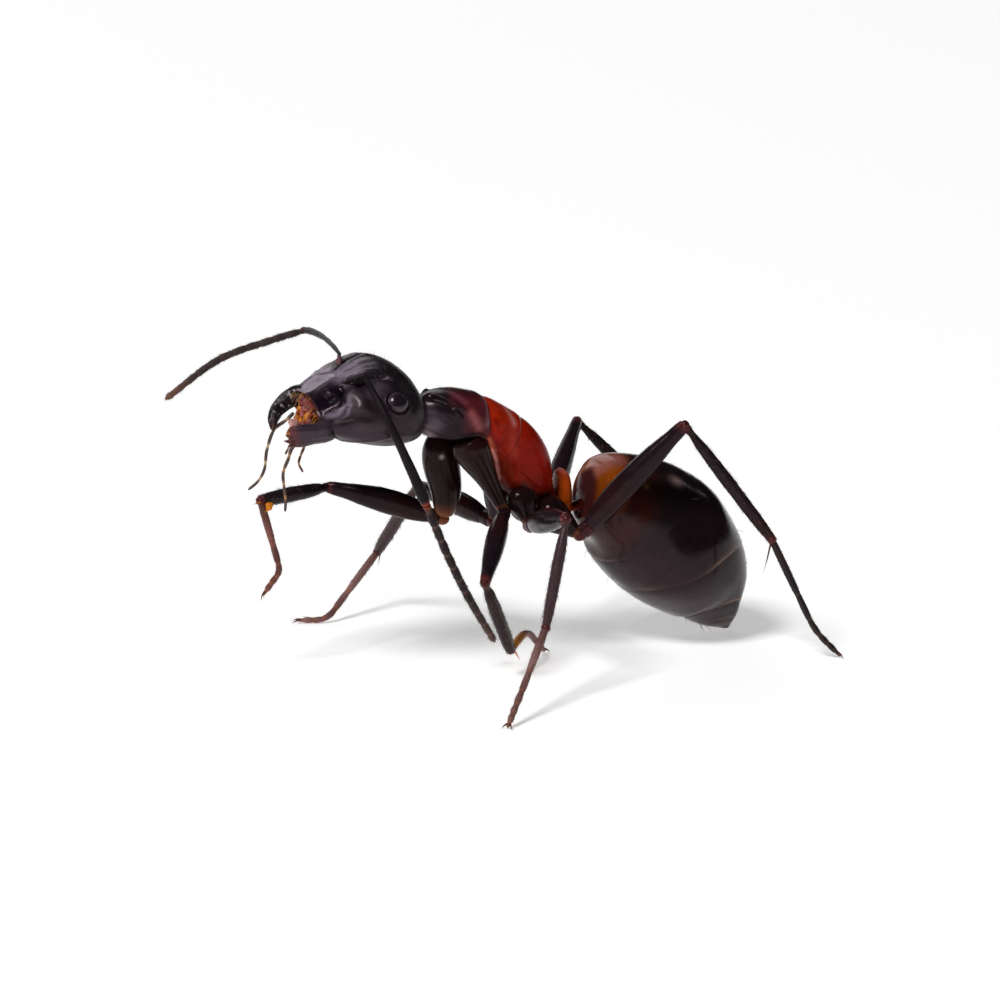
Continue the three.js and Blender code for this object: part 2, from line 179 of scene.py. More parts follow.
JET = (0.010, 0.008, 0.011)
PLUM = (0.032, 0.019, 0.031)
# The lilac, pale lilac and olive grey colours are painted light: highlights and reflections painted on the
# shell.
LILAC_SHEEN = (0.12, 0.095, 0.125)
PALE_HIGHLIGHT = (0.33, 0.25, 0.34)
NIGHT = (0.012, 0.0055, 0.008)
OLIVE_HIGHLIGHT = (0.1, 0.085, 0.08)
MAROON = (0.055, 0.008, 0.010)
WINE = (0.13, 0.010, 0.010)
RED = (0.36, 0.014, 0.003)
SCARLET = (0.46, 0.030, 0.006)
BROWN = (0.16, 0.012, 0.002)
AMBER = (0.33, 0.062, 0.004)
RUST = (0.15, 0.038, 0.016)
ORANGE = (0.6, 0.19, 0.015)
STRAW = (0.6, 0.42, 0.2)
PINK = (0.46, 0.14, 0.13)
MAUVE = (0.22, 0.06, 0.08)
BLOOD = (0.2, 0.006, 0.004)
# This grey is a painted reflection of the floor on the head's underside and lower sides.
FLOOR_REFLECTION_GREY = (0.06, 0.045, 0.05)
OLIVE = (0.02, 0.022, 0.012)

# ---- Numbers and curves ----


def vec(*values):
    return np.array(values, float)


def unit(v):
    return v / np.maximum(np.linalg.norm(v, axis=-1, keepdims=True), 1e-12)


def dot(a, b):
    return np.sum(a * b, axis=-1, keepdims=True)


def ease(low, high, x):
    """0 below low, 1 above high and smooth between. low may be the larger."""
    t = np.clip((x - low) / (high - low), 0, 1)
    return t * t * (3 - 2 * t)


def hump(x, middle, width):
    return np.exp(-(((x - middle) / width) ** 2))


def mix(a, b, t):
    """Blends two colours, or arrays of them, by the share t of each vertex."""
    t = np.clip(np.asarray(t, float), 0, 1)[..., None]
    return np.asarray(a, float) * (1 - t) + np.asarray(b, float) * t


def painted(grid, ground, *layers):
    """A colour for each point of a grid: a ground under layers of (colour, share). A share is one
    number, or one for each row of the grid, or one for each point."""
    tint = np.broadcast_to(np.asarray(ground, float), grid.shape)
    for colour, share in layers:
        share = np.asarray(share, float)
        tint = mix(tint, colour, share[:, None] if share.ndim == 1 else share)
    return tint


def column(rows, s, which):
    """A smooth value at s of one column of rows that start with their own s."""
    rows = np.array(rows, float)
    s = np.asarray(s, float)
    i = np.clip(np.searchsorted(rows[:, 0], s, side="right") - 1, 0, len(rows) - 2)
    before, after = np.maximum(np.arange(len(rows)) - 1, 0), np.arange(len(rows)) + 1
    after = np.minimum(after, len(rows) - 1)
    slopes = (rows[after, which] - rows[before, which]) / (rows[after, 0] - rows[before, 0])
    width = rows[i + 1, 0] - rows[i, 0]
    t = np.clip((s - rows[i, 0]) / width, 0, 1)
    h = 1 - t
    value = rows[i, which] * h * h * (1 + 2 * t) + rows[i + 1, which] * t * t * (3 - 2 * t)
    return value + slopes[i] * width * t * h * h - slopes[i + 1] * width * t * t * h


def steps_of(points):
    """The lengths between the points of a line."""
    return np.linalg.norm(np.diff(points, axis=0), axis=1)


def length_of(points):
    return steps_of(points).sum()


def even(points, count):
    """count points at even lengths along a dense polyline."""
    run = np.concatenate(([0], np.cumsum(steps_of(points))))
    at = np.linspace(0, run[-1], count)
    return np.stack([np.interp(at, run, points[:, k]) for k in range(points.shape[1])], axis=1)


def spline(knots, count):
    """count points at even lengths along a centripetal Catmull-Rom curve through the knots."""
    p = np.array(knots, float)
    p = np.vstack((2 * p[0] - p[1], p, 2 * p[-1] - p[-2]))
    fine = []
    for a, b, c, d in zip(p, p[1:], p[2:], p[3:]):
        u, v, w = (np.sqrt(np.linalg.norm(y - x)) for x, y in ((a, b), (b, c), (c, d)))
        leave = ((b - a) / u - (c - a) / (u + v) + (c - b) / v) * v
        reach = ((c - b) / v - (d - b) / (v + w) + (d - c) / w) * v
        t = np.linspace(0, 1, 60)[:, None]
        h = 1 - t
        part = b * h * h * (1 + 2 * t) + c * t * t * (3 - 2 * t)
        fine.append(part + leave * t * h * h - reach * t * t * h)
    return even(np.vstack(fine), count)


def bent(a, b, c, count):
    """An even quadratic curve from a to c that pulls towards b."""
    t = np.linspace(0, 1, 120)[:, None]
    a, b, c = (np.array(x, float) for x in (a, b, c))
    return even(a * (1 - t) ** 2 + 2 * b * t * (1 - t) + c * t * t, count)


def rounded(points, radius, count):
    """A polyline with its corners rounded to about the radius, as count even points."""
    points = [np.array(p, float) for p in points]
    line = [points[0][None]]
    for before, here, after in zip(points, points[1:], points[2:]):
        inward, onward = before - here, after - here
        reach = min(radius, 0.45 * np.linalg.norm(inward), 0.45 * np.linalg.norm(onward))
        start, end = here + unit(inward) * reach, here + unit(onward) * reach
        t = np.linspace(0, 1, 24)[:, None]
        line.append(start * (1 - t) ** 2 + 2 * here * t * (1 - t) + end * t * t)
    line.append(points[-1][None])
    return even(np.vstack(line), count)


def heading(yaw, rise, side):
    """A unit direction for a part on one side (-1 left, 1 right) of the body, from degrees."""
    level = math.cos(math.radians(rise))
    ahead, outward = math.cos(math.radians(yaw)), math.sin(math.radians(yaw))
    return vec(-ahead * level, side * outward * level, math.sin(math.radians(rise)))


RIPPLE_WAVES, RIPPLE_PEAK = 9, 3.6  # waves that are added up, and the sum they seldom pass


def ripple(points, scale, seed):
    """Smooth noise from about -1 to 1, at about scale waves to the millimetre."""
    draw = np.random.default_rng(seed)
    total = np.zeros(points.shape[:-1])
    for _ in range(RIPPLE_WAVES):
        wave = unit(draw.normal(size=3)) * scale * draw.uniform(3.5, 8)
        total += np.sin(points @ wave + draw.uniform(0, 2 * math.pi))
    return total / RIPPLE_PEAK


MOST_KNOTS = 12  # a line of fewer points is taken as knots, and a curve is drawn through them


def nearest_on(points, line):
    """How far each point lies from a line, or from one spot, and the share of the line there."""
    line = np.atleast_2d(np.asarray(line, float))
    if 1 < len(line) < MOST_KNOTS:
        line = spline(line, 70)
    nearest = np.full(points.shape[:-1], 1e9)
    share = np.full(points.shape[:-1], 0.5)
    for i, spot in enumerate(line):
        far = np.sum((points - spot) ** 2, axis=-1)
        closer = far < nearest
        nearest[closer] = far[closer]
        share[closer] = i / max(1, len(line) - 1)
    return np.sqrt(nearest), share


def distance_to(points, line):
    return nearest_on(points, line)[0]


def relief(points, features):
    """Summed ridges and grooves that fade at their ends: each feature is a height, a width and
    the line it follows."""
    total = np.zeros(points.shape[:-1])
    for height, width, line in features:
        far, share = nearest_on(points, line)
        fade = 1.0 if len(line) < 2 else ease(-0.06, 0.16, share) * ease(1.06, 0.84, share)
        total += height * fade * hump(far, 0, width)
    return total


# ---- Grids: sections along a path, with relief pushed along the surface's own direction ----


def normals_of(grid, middle):
    """Outward directions of a grid of sections that close on themselves round the middle line."""
    along = np.gradient(grid, axis=0)
    around = np.roll(grid, -1, axis=1) - np.roll(grid, 1, axis=1)
    normal = unit(np.cross(along, around))
    outward = np.sum(normal * (grid - middle), axis=-1).mean()
    return normal if outward > 0 else -normal


def powered(turn, power):
    """Sine and cosine of a turn on a rounded square, for a power over 2."""
    across = np.sign(np.sin(turn)) * np.abs(np.sin(turn)) ** (2 / power)
    return across, np.sign(np.cos(turn)) * np.abs(np.cos(turn)) ** (2 / power)


def tube(path, wide, tall, hint, around=32, power=2.0):
    """A grid of sections of half sizes wide (towards the hint) and tall along the path."""
    tangent = unit(np.gradient(path, axis=0))
    side = unit(hint - dot(tangent, hint) * tangent)
    up = np.cross(tangent, side)
    across, height = powered(np.linspace(0, 2 * math.pi, around, endpoint=False), power)
    wide = np.broadcast_to(wide, len(path))[:, None, None]
    tall = np.broadcast_to(tall, len(path))[:, None, None]
    offset = across[None, :, None] * wide * side[:, None]
    return path[:, None] + offset + height[None, :, None] * tall * up[:, None]


def pushed(grid, middle, push):
    """The grid with each point moved out along the surface's own direction."""
    return grid + normals_of(grid, middle) * push[..., None]


def rod(path, wide, tall, hint, around, power, *waves):
    """A tube and its middle line as grids, made uneven by waves of (height, scale, seed)."""
    grid = tube(path, wide, tall, hint, around, power)
    middle = path[:, None] + 0 * grid
    push = np.zeros(grid.shape[:2])
    for height, scale, seed in waves:
        push += height * ripple(grid, scale, seed)
    return pushed(grid, middle, push), middle


DEGREE = 0.005  # how much a degree of turn counts beside a share of a spine, along curved lines


class Loft:
    """A body shell round a spine. s is the share of the spine's length, and the turn in degrees
    is 0 on top, 90 on the left side, 180 below."""

    def __init__(self, spine, rows, power=2.2, top=(0, 0, 1)):
        self.rows, self.power = rows, power
        self.line = spline(spine, 601)
        self.slope = unit(np.gradient(self.line, axis=0))
        self.right = unit(np.cross(np.asarray(top, float), self.slope))
        if self.right[:, 1].mean() < 0:
            self.right = -self.right
        self.up = unit(np.cross(self.slope, self.right))
        if dot(self.up, np.asarray(top, float)).mean() < 0:
            self.up = -self.up

    def along(self, values, s):
        at = np.linspace(0, 1, len(values))
        return np.stack([np.interp(s, at, values[:, k]) for k in range(3)], axis=-1)

    def middle(self, s):
        return self.along(self.line, np.asarray(s, float))

    def at(self, s, turn):
        s, turn = np.broadcast_arrays(np.asarray(s, float), np.asarray(turn, float))
        across, height = powered(np.radians(turn), self.power)
        tall = np.where(height > 0, column(self.rows, s, 2), column(self.rows, s, 3)) - SKIN
        half = column(self.rows, s, 1) - SKIN
        point = self.middle(s) - (across * half)[..., None] * unit(self.along(self.right, s))
        return point + (height * tall)[..., None] * unit(self.along(self.up, s))

    def line_at(self, knots):
        """Points on the shell along a curve of (s, turn) knots."""
        flat = np.array(knots, float) * vec(1, DEGREE)
        if len(flat) > 1:
            flat = spline(flat, 40)
        return self.at(flat[:, 0], flat[:, 1] / DEGREE)

    def patch(self, start, end, along, around):
        """A grid of the shell from share start to end, which may differ with the turn."""
        turn = np.linspace(-180, 180, around, endpoint=False)
        low, high = (edge(turn) if callable(edge) else edge + 0 * turn for edge in (start, end))
        share = np.linspace(0, 1, along)[:, None]
        share[1], share[-2] = 0.0004, 0.9996  # close to the ends, which keeps their edges sharp
        s = low + (high - low) * share
        return self.at(s, turn[None]), self.middle(s), s, turn[None] + 0 * s


# ---- Meshes ----


class Patch:
    """Vertices, faces and one colour per vertex, before they are joined into a piece. The
    colour's fourth number is the gloss, from 0 to 1."""

    def __init__(self, points, faces, tint):
        self.points, self.faces, self.tint = points, faces, tint


def glossed(tint, gloss=0.5):
    """A tint with its gloss beside it, if it has none yet."""
    tint = np.asarray(tint, float)
    if tint.shape[-1] == 4:
        return tint
    gloss = np.broadcast_to(gloss, tint.shape[:-1])[..., None]
    return np.concatenate((tint, gloss), axis=-1)


def closed(grid, tint):
    """A patch from a grid of sections, with its two ends closed by fans."""
    rows, around = grid.shape[:2]
    tint = np.broadcast_to(glossed(tint), grid.shape[:2] + (4,))
    index = np.arange(rows * around).reshape(rows, around)
    a, b = index[:-1], np.roll(index[:-1], -1, axis=1)
    c, d = np.roll(index[1:], -1, axis=1), index[1:]
    faces = np.stack((a, b, c, d), axis=-1).reshape(-1, 4).tolist()
    points = np.vstack((grid.reshape(-1, 3), grid[0].mean(axis=0), grid[-1].mean(axis=0)))
    tints = np.vstack((tint.reshape(-1, 4), tint[0].mean(axis=0), tint[-1].mean(axis=0)))
    hub, first, last = rows * around, index[0].tolist(), index[-1].tolist()
    faces += [(hub, q, p) for p, q in zip(first, first[1:] + first[:1])]
    faces += [(hub + 1, p, q) for p, q in zip(last, last[1:] + last[:1])]
    return facing_out(Patch(points, faces, tints))


def facing_out(patch):
    """The patch with its faces turned outwards, told by its signed volume."""
    p = patch.points
    centre = p.mean(axis=0)
    volume = 0.0
    for face in patch.faces[:: max(1, len(patch.faces) // 3000)]:  # a sample is enough
        a, b, c = p[face[0]], p[face[1]], p[face[2]]
        volume += np.dot(np.cross(b - a, c - a), (a + b + c) / 3 - centre)
    if volume < 0:
        patch.faces = [tuple(reversed(face)) for face in patch.faces]
    return patch


def ball(at, radii, tint, axes=None, rows=20, around=28, rough=0.0, seed=1):
    """A patch of a squeezed ball, wrinkled by rough. axes are the directions of its radii."""
    axes = np.eye(3) if axes is None else np.asarray(axes, float)
    polar = np.linspace(0.02, math.pi - 0.02, rows)
    turn = np.linspace(0, 2 * math.pi, around, endpoint=False)
    x = np.sin(polar)[:, None] * np.cos(turn)
    y = np.sin(polar)[:, None] * np.sin(turn)
    z = np.cos(polar)[:, None] * np.ones_like(turn)
    local = np.stack((x * radii[0], y * radii[1], z * radii[2]), axis=-1)
    if rough:
        local = local * (1 + rough * ripple(local, 0.9 / max(radii), seed))[..., None]
    if callable(tint):
        tint = tint(np.stack((x, y, z), axis=-1))
    return closed(np.asarray(at, float) + local @ axes, tint)


ASKEW = vec(0.31, 0.52, 0.8)  # a direction that no cone points in


def cone(root, tip, radius, tint, droop=(0, 0, 0), around=10, rows=10, blunt=0.12):
    """A curved spine from root to tip: claws, teeth, spurs and bristles."""
    root, tip = np.asarray(root, float), np.asarray(tip, float)
    path = bent(root, (root + tip) / 2 + np.asarray(droop, float), tip, rows)
    share = np.linspace(0, 1, rows)
    size = radius * np.maximum(blunt, (1 - share) ** 0.75)
    return closed(tube(path, size, size, ASKEW, around), tint)


def piece(name, patches, material, nodes=(), unwrap=None):
    """Joins patches into one shown piece, in metres, that rides on the body."""
    points, faces, tints, count = [], [], [], 0
    for patch in patches:
        faces += [tuple(i + count for i in face) for face in patch.faces]
        count += len(patch.points)
        points.append(patch.points)
        tints.append(glossed(patch.tint))
    mesh = bpy.data.meshes.new(name)
    placed = np.vstack(points) + BODY_TO_PART
    placed[:, 2] = np.maximum(placed[:, 2], ABOVE_FLOOR)
    mesh.from_pydata(placed * MM, [], faces)
    mesh.polygons.foreach_set("use_smooth", np.ones(len(faces), bool))
    held = mesh.color_attributes.new("tint", "FLOAT_COLOR", "POINT")
    held.data.foreach_set("color", np.vstack(tints).astype(np.float32).ravel())
    if unwrap is not None:
        corners = np.zeros(len(mesh.loops), np.int32)
        mesh.loops.foreach_get("vertex_index", corners)
        layer = mesh.uv_layers.new(name="OFBake")
        layer.data.foreach_set("uv", unwrap[corners].astype(np.float32).ravel())
    mesh.materials.append(material)
    mesh.update()
    made = bpy.data.objects.new(name, mesh)
    bpy.context.scene.collection.objects.link(made)
    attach(made, "root")
    if nodes:
        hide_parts(*nodes)


# ---- Hairs: solid three-sided bristles in joined meshes ----


class Coat:
    """The roots of hairs on shell surfaces, gathered before they become one piece."""

    def __init__(self):
        self.parts = []

    def scatter(self, grid, middle, count, length, width, seed, *, lean, tint, strip, lie=None, where=None):
        """Adds hairs on a grid of sections. lean is 0 for upright and 1 for flat, lie is the
        direction they lean in, strip is their part of the unwrap, as u and v of its corner and
        its size, and where is a weight per vertex."""
        draw = np.random.default_rng(seed)
        cell = grid[:-1]
        area = np.linalg.norm(
            np.cross(np.roll(cell, -1, axis=1) - cell, grid[1:] - cell), axis=-1
        )
        weight = area * (1.0 if where is None else np.maximum(where[:-1], 0))
        chance = weight.ravel() / weight.sum()
        picked = draw.choice(len(chance), size=count, p=chance)
        row, turn = np.unravel_index(picked, weight.shape)
        a, b = draw.uniform(size=(2, count, 1))
        beside = (turn + 1) % grid.shape[1]
        near = grid[row, turn] * (1 - a) + grid[row, beside] * a
        far = grid[row + 1, turn] * (1 - a) + grid[row + 1, beside] * a
        root = near * (1 - b) + far * b
        normal = normals_of(grid, middle)[row, turn]
        along = unit(np.gradient(grid, axis=0)[row, turn])
        if lie is not None:
            along = unit(lie - dot(normal, lie) * normal)
        along = unit(along + draw.normal(0, 0.22, (count, 3)))
        lean = lean + draw.normal(0, 0.08, (count, 1))
        u0, v0, du, dv = strip
        u = u0 + du * (turn + a[:, 0]) / grid.shape[1]
        v = v0 + dv * (row + b[:, 0]) / grid.shape[0]
        self.add(
            root - normal * 0.01,
            unit(normal * (1 - lean) + along * lean),
            along * lean * 0.5,
            length * draw.uniform(0.6, 1.25, count),
            width * draw.uniform(0.8, 1.15, count),
            tint,
            np.stack((u, v), axis=-1),
        )

    def add(self, root, direction, droop, length, width, tint, place):
        """Hairs as rings of three corners at four stops, with the last one almost closed."""
        count = len(root)
        side = unit(np.cross(direction, vec(0.3, 0.5, 0.81)))
        other = np.cross(direction, side)
        stops = []
        for t, size in ((0, 1.0), (0.35, 0.85), (0.7, 0.55), (1.0, 0.1)):
            spot = root + (direction * t + droop * t * t) * length[:, None]
            for k in range(3):
                angle = 2 * math.pi * k / 3
                offset = side * math.cos(angle) + other * math.sin(angle)
                stops.append(spot + offset * (width * size)[:, None])
        points = np.stack(stops, axis=1)
        one = [(0, 2, 1), (9, 10, 11)]
        for ring in range(3):
            for k in range(3):
                a, b = 3 * ring + k, 3 * ring + (k + 1) % 3
                one.append((a, b, b + 3, a + 3))
        faces = [tuple(12 * i + j for j in face) for i in range(count) for face in one]
        steps = np.array([(k % 3, k // 3) for k in range(12)]) * vec(0.0015, 0.001)
        unwrap = place[:, None] + steps
        tint = np.broadcast_to(np.asarray(tint, float), (count, 3))[:, None] + np.zeros((1, 12, 1))
        patch = Patch(points.reshape(-1, 3), faces, tint.reshape(-1, 3))
        self.parts.append((patch, unwrap.reshape(-1, 2)))

    def piece(self, name, slot):
        patches = [patch for patch, _ in self.parts]
        unwrap = np.vstack([unwrap for _, unwrap in self.parts])
        piece(name, patches, BRISTLE, unwrap=unwrap)


# ---- Materials ----


def give(tree, socket, value):
    """Links a socket to another node's output, or sets its own value."""
    if isinstance(value, bpy.types.NodeSocket):
        tree.links.new(value, socket)
    else:
        socket.default_value = value


def node(tree, kind, **inputs):
    """A shader node. An underscore in an input's name stands for a space."""
    made = tree.nodes.new("ShaderNode" + kind)
    for key, value in inputs.items():
        give(tree, made.inputs[key.replace("_", " ")], value)
    return made


def remapped(tree, source, from_low, from_high, low, high):
    ends = {"From_Min": from_low, "From_Max": from_high, "To_Min": low, "To_Max": high}
    return node(tree, "MapRange", Value=source, **ends).outputs[0]


def worked(tree, operation, a, b):
    """A math node on two sources, or on a source and a number."""
    made = node(tree, "Math")
    made.operation = operation
    give(tree, made.inputs[0], a)
    give(tree, made.inputs[1], b)
    return made.outputs[0]


def scaled(tree, source, by):
    """A vector or a colour times a number or a source."""
    made = node(tree, "VectorMath", Vector=source)
    made.operation = "SCALE"
    give(tree, made.inputs["Scale"], by)
    return made.outputs[0]


def shell_material(name, rough, cell, grain, pores=0.0, mottle=0.25, waves=0.0, gloss=1.35):
    """Insect shell: the piece's own tint and gloss with slow mottling, a net of cells of size
    cell mm, fine grain, pores and shallow waves. gloss is its index of refraction."""
    material = bpy.data.materials.new(name)
    material.use_nodes = True
    tree = material.node_tree
    shader = tree.nodes["Principled BSDF"]
    spot = scaled(tree, node(tree, "TexCoord").outputs["Object"], 1 / MM)
    tint = node(tree, "Attribute")
    tint.attribute_name = "tint"

    def noise(scale, detail, roughness=0.5):
        looks = {"Scale": scale, "Detail": detail, "Roughness": roughness}
        return node(tree, "TexNoise", Vector=spot, **looks).outputs["Fac"]

    def noise_between(low, high, *looks):
        return remapped(tree, noise(*looks), 0.3, 0.7, low, high)

    def cells(feature, scale, reach):
        """0 at the lines or in the middles of cells, and 1 from reach on."""
        made = node(tree, "TexVoronoi", Vector=spot, Scale=scale)
        made.feature = feature
        return remapped(tree, made.outputs["Distance"], 0, reach, 0, 1)

    def share(source, by):
        return worked(tree, "MULTIPLY", source, by)

    broad = noise_between(1 - mottle, 1 + mottle, 2.3, 6.0, 0.65)
    small = noise_between(1 - mottle / 2, 1 + mottle / 2, 1.1 / cell, 2.0, 0.6)
    shade = scaled(tree, tint.outputs["Color"], share(broad, small))
    give(tree, shader.inputs["Base Color"], shade)

    height = cells("DISTANCE_TO_EDGE", 1 / cell, 0.18)
    for layer in (
        share(noise(2.6 / cell, 3.0, 0.6), 0.7),
        share(cells("F1", 0.16 / cell, 0.22), pores),
        share(noise(7.0, 2.0), waves),
    ):
        height = worked(tree, "ADD", height, layer)
    bump = node(tree, "Bump", Strength=1.0, Distance=grain * MM, Height=height)
    give(tree, shader.inputs["Normal"], bump.outputs[0])

    worn = noise_between(max(0.05, rough - 0.06), rough + 0.08, 5.1, 4.0)
    dull = remapped(tree, tint.outputs["Alpha"], 0, 1, 1.5, 0.5)
    give(tree, shader.inputs["Roughness"], share(worn, dull))
    give(tree, shader.inputs["IOR"], gloss)
    give(tree, shader.inputs["Specular Tint"], (1, 0.8, 0.84, 1))
    return material


HEAD_SHELL = shell_material("head_shell", 0.3, 0.03, 0.0006, 0.6, gloss=1.36)
TRUNK_SHELL = shell_material("trunk_shell", 0.2, 0.035, 0.0003, 0.2, waves=2.0, gloss=1.27)
RED_SHELL = shell_material("red_shell", 0.22, 0.035, 0.0003, 0.2, waves=2.0, gloss=1.15)
GASTER_SHELL = shell_material("gaster_shell", 0.17, 0.045, 0.0002, waves=3.0, gloss=1.31)
LIMB_SHELL = shell_material("limb_shell", 0.19, 0.03, 0.0004, waves=3.0, gloss=1.24)
FEELER_SHELL = shell_material("feeler_shell", 0.36, 0.022, 0.0007, 0.3, gloss=1.18)
FOOT_SHELL = shell_material("foot_shell", 0.36, 0.02, 0.001, mottle=0.35, gloss=1.35)
MOUTH_SHELL = shell_material("mouth_shell", 0.28, 0.02, 0.0016, mottle=0.45, gloss=1.4)
JAW_SHELL = shell_material("jaw_shell", 0.27, 0.035, 0.0014, 0.9, gloss=1.4)
EYE_LENS = shell_material("eye_lens", 0.18, 0.02, 0.0003, mottle=0.1, gloss=1.5)
BRISTLE = shell_material("bristle", 0.4, 0.03, 0.0003, mottle=0.3, gloss=1.3)

# ---- Head ----

HEAD_POWER = 2.25  # how square the head's sections are: 2 is an ellipse
roll = math.radians(HEAD_ROLL)
HEAD_TURN = np.array(
    [[1, 0, 0], [0, math.cos(roll), -math.sin(roll)], [0, math.sin(roll), math.cos(roll)]]
)


def from_head(points):
    """Body coordinates of points given as forward, left and up in the head's frame."""
    return (np.asarray(points, float) * vec(-1, -1, 1)) @ HEAD_TURN.T + HEAD_AT


def head_axes(*rows):
    """Body directions of directions given as forward, left and up in the head's frame."""
    return (np.asarray(rows, float) * vec(-1, -1, 1)) @ HEAD_TURN.T


def on_head(knots):
    """Knots given as forward, left and up, moved out or in to the bare surface of the head."""
    p = np.atleast_2d(np.array(knots, float))
    s = (p[:, 0] - HEAD_REAR) / (HEAD_FRONT - HEAD_REAR)
    tall = np.where(p[:, 2] > 0, column(HEAD_ROWS, s, 2), column(HEAD_ROWS, s, 3)) - SKIN
    across, height = np.abs(p[:, 1] / (column(HEAD_ROWS, s, 1) - SKIN)), np.abs(p[:, 2] / tall)
    reach = (across**HEAD_POWER + height**HEAD_POWER) ** (1 / HEAD_POWER)
    return p / np.stack((np.ones_like(reach), reach, reach), axis=-1)


# Ridges and grooves of the left half of the head, each a height, a width and the line it follows
# as forward, left and up. The right half mirrors them.
FRONTAL_RIDGE = [(0.5, 0.2, 0.8), (0.42, 0.25, 0.84), (0.16, 0.32, 0.93), (-0.16, 0.42, 0.98)]
FRONTAL_FOLD = [(0.6, 0.26, 0.73), (0.48, 0.33, 0.8), (0.28, 0.45, 0.86), (-0.03, 0.53, 0.95)]
CLYPEUS_EDGE = [(0.66, 0.36, 0.68), (0.77, 0.56, 0.57), (0.76, 0.68, 0.54), (0.87, 0.75, 0.43)]
CONDYLE_RIM = [(1.17, 0.7, 0.24), (1.0, 0.76, 0.33), (0.81, 0.83, 0.41), (0.68, 0.95, 0.4)]
CONDYLE_SHADE = [(1.12, 0.83, 0.14), (0.85, 0.95, 0.24), (0.55, 1.09, 0.33), (0.3, 1.2, 0.3)]
BOSS = [(0.63, 0.6, 0.64), (0.52, 0.82, 0.6), (0.5, 0.99, 0.47), (0.7, 0.93, 0.38)]
UNDER_RIDGE = [(1.0, 0.72, -0.2), (0.84, 0.78, -0.34), (0.36, 1.18, -0.22), (-0.09, 1.38, -0.07)]
SOCKET = [(0.36, 0.5, 0.82)]
JAW_CRACK = [(1.2, 0.79, 0.08), (1.08, 0.87, -0.07), (0.98, 0.82, -0.2), (0.83, 0.72, -0.33)]
HEAD_RELIEF = [
    (0.065, 0.065, FRONTAL_RIDGE + [(-0.32, 0.54, 0.96)]),
    (-0.1, 0.055, FRONTAL_FOLD + [(-0.27, 0.66, 0.9)]),
    (-0.1, 0.12, SOCKET),
    (0.045, 0.035, [(0.7, 0.33, 0.68), (0.56, 0.45, 0.74), (0.46, 0.6, 0.72)]),
    (-0.045, 0.045, CLYPEUS_EDGE + [(1.0, 0.73, 0.36), (1.16, 0.68, 0.26)]),
    (-0.05, 0.16, [(0.85, 0.4, 0.6), (1.05, 0.42, 0.45)]),
    (0.07, 0.16, BOSS),
    (0.06, 0.05, CONDYLE_RIM + [(0.55, 0.98, 0.46)]),
    (-0.035, 0.09, CONDYLE_SHADE),
    (0.03, 0.05, UNDER_RIDGE + [(-0.6, 1.36, -0.12)]),
    (-0.025, 0.06, [(0.7, 1.0, -0.06), (0.2, 1.3, 0.05), (-0.3, 1.4, 0.1)]),
    (-0.05, 0.03, [(0.6, 0.0, 0.75), (0.57, 0.2, 0.76)]),
    (-0.016, 0.02, [(0.5, 0, 0.83), (0.0, 0, 1.0), (-0.5, 0, 1.0)]),
    (0.03, 0.2, [(0.2, 0.12, 0.96), (-0.3, 0.2, 1.0)]),
    (-0.02, 0.03, [(1.1, 0, -0.25), (0.0, 0, -0.65), (-0.9, 0, -0.6)]),
    (-0.05, 0.035, JAW_CRACK),
]
# Spots of colour on the head: the colour, how strong, how wide, and the line it follows. Most are painted
# light: pale painted highlights and reflections on the frons, ridges, boss and rims, and painted shadow in
# the dark ones under the condyle rim and beside the scape.
HEAD_SPOTS = [
    (PALE_HIGHLIGHT, 0.95, 0.15, [(0.5, 0.08, 0.8), (0.36, 0.15, 0.87), (0.22, 0.12, 0.92)]),
    (PALE_HIGHLIGHT, 0.85, 0.12, [(0.62, 0.05, 0.73), (0.66, 0.2, 0.7)]),
    (LILAC_SHEEN, 0.5, 0.22, [(0.2, 0.05, 0.95), (-0.1, 0.12, 1.0)]),
    (LILAC_SHEEN, 0.55, 0.045, [(0.08, 0.56, 0.92), (-0.09, 0.6, 0.94), (-0.29, 0.64, 0.93)]),
    (LILAC_SHEEN, 0.7, 0.12, [(0.03, 0.82, 0.83), (0.19, 0.9, 0.72)]),
    # Painted highlight on the cheek's boss.
    (OLIVE_HIGHLIGHT, 0.6, 0.14, [(0.6, 0.75, 0.63), (0.54, 0.86, 0.58), (0.56, 0.96, 0.5)]),
    (PALE_HIGHLIGHT, 0.7, 0.055, [(1.13, 0.74, 0.24), (0.95, 0.83, 0.3), (0.81, 0.79, 0.43)]),
    (PALE_HIGHLIGHT, 0.4, 0.05, [(0.81, 0.79, 0.43), (0.7, 0.82, 0.49), (0.63, 0.68, 0.61)]),
    (PALE_HIGHLIGHT, 0.5, 0.035, [(1.0, 0.9, 0.18), (0.79, 0.95, 0.31), (0.66, 0.87, 0.49)]),
    (PALE_HIGHLIGHT, 0.45, 0.04, [(0.67, 0.22, 0.7), (0.63, 0.42, 0.7)]),
    ((0.06, 0.042, 0.055), 0.75, 0.13, [(0.02, 0.68, 0.87), (-0.09, 0.86, 0.83)]),
    (FLOOR_REFLECTION_GREY, 0.3, 0.16, [(0.55, 1.1, 0.05), (0.2, 1.28, 0.12)]),
    (LILAC_SHEEN, 0.45, 0.05, [(0.7, 0.9, -0.3), (0.3, 1.15, -0.27), (-0.2, 1.25, -0.25)]),
    # Painted shadow under the condyle rim.
    (NIGHT, 0.85, 0.13, [(0.9, 0.97, 0.14), (0.55, 1.1, 0.3), (0.3, 1.2, 0.35)]),
    (NIGHT, 0.5, 0.2, [(-0.5, 0.75, 0.83), (-0.7, 0.6, 0.8)]),
    # Painted shadow of the near scape across the cheek.
    (NIGHT, 0.9, 0.13, [(0.33, 1.0, 0.55), (0.3, 1.12, 0.45), (0.28, 1.2, 0.3)]),
]
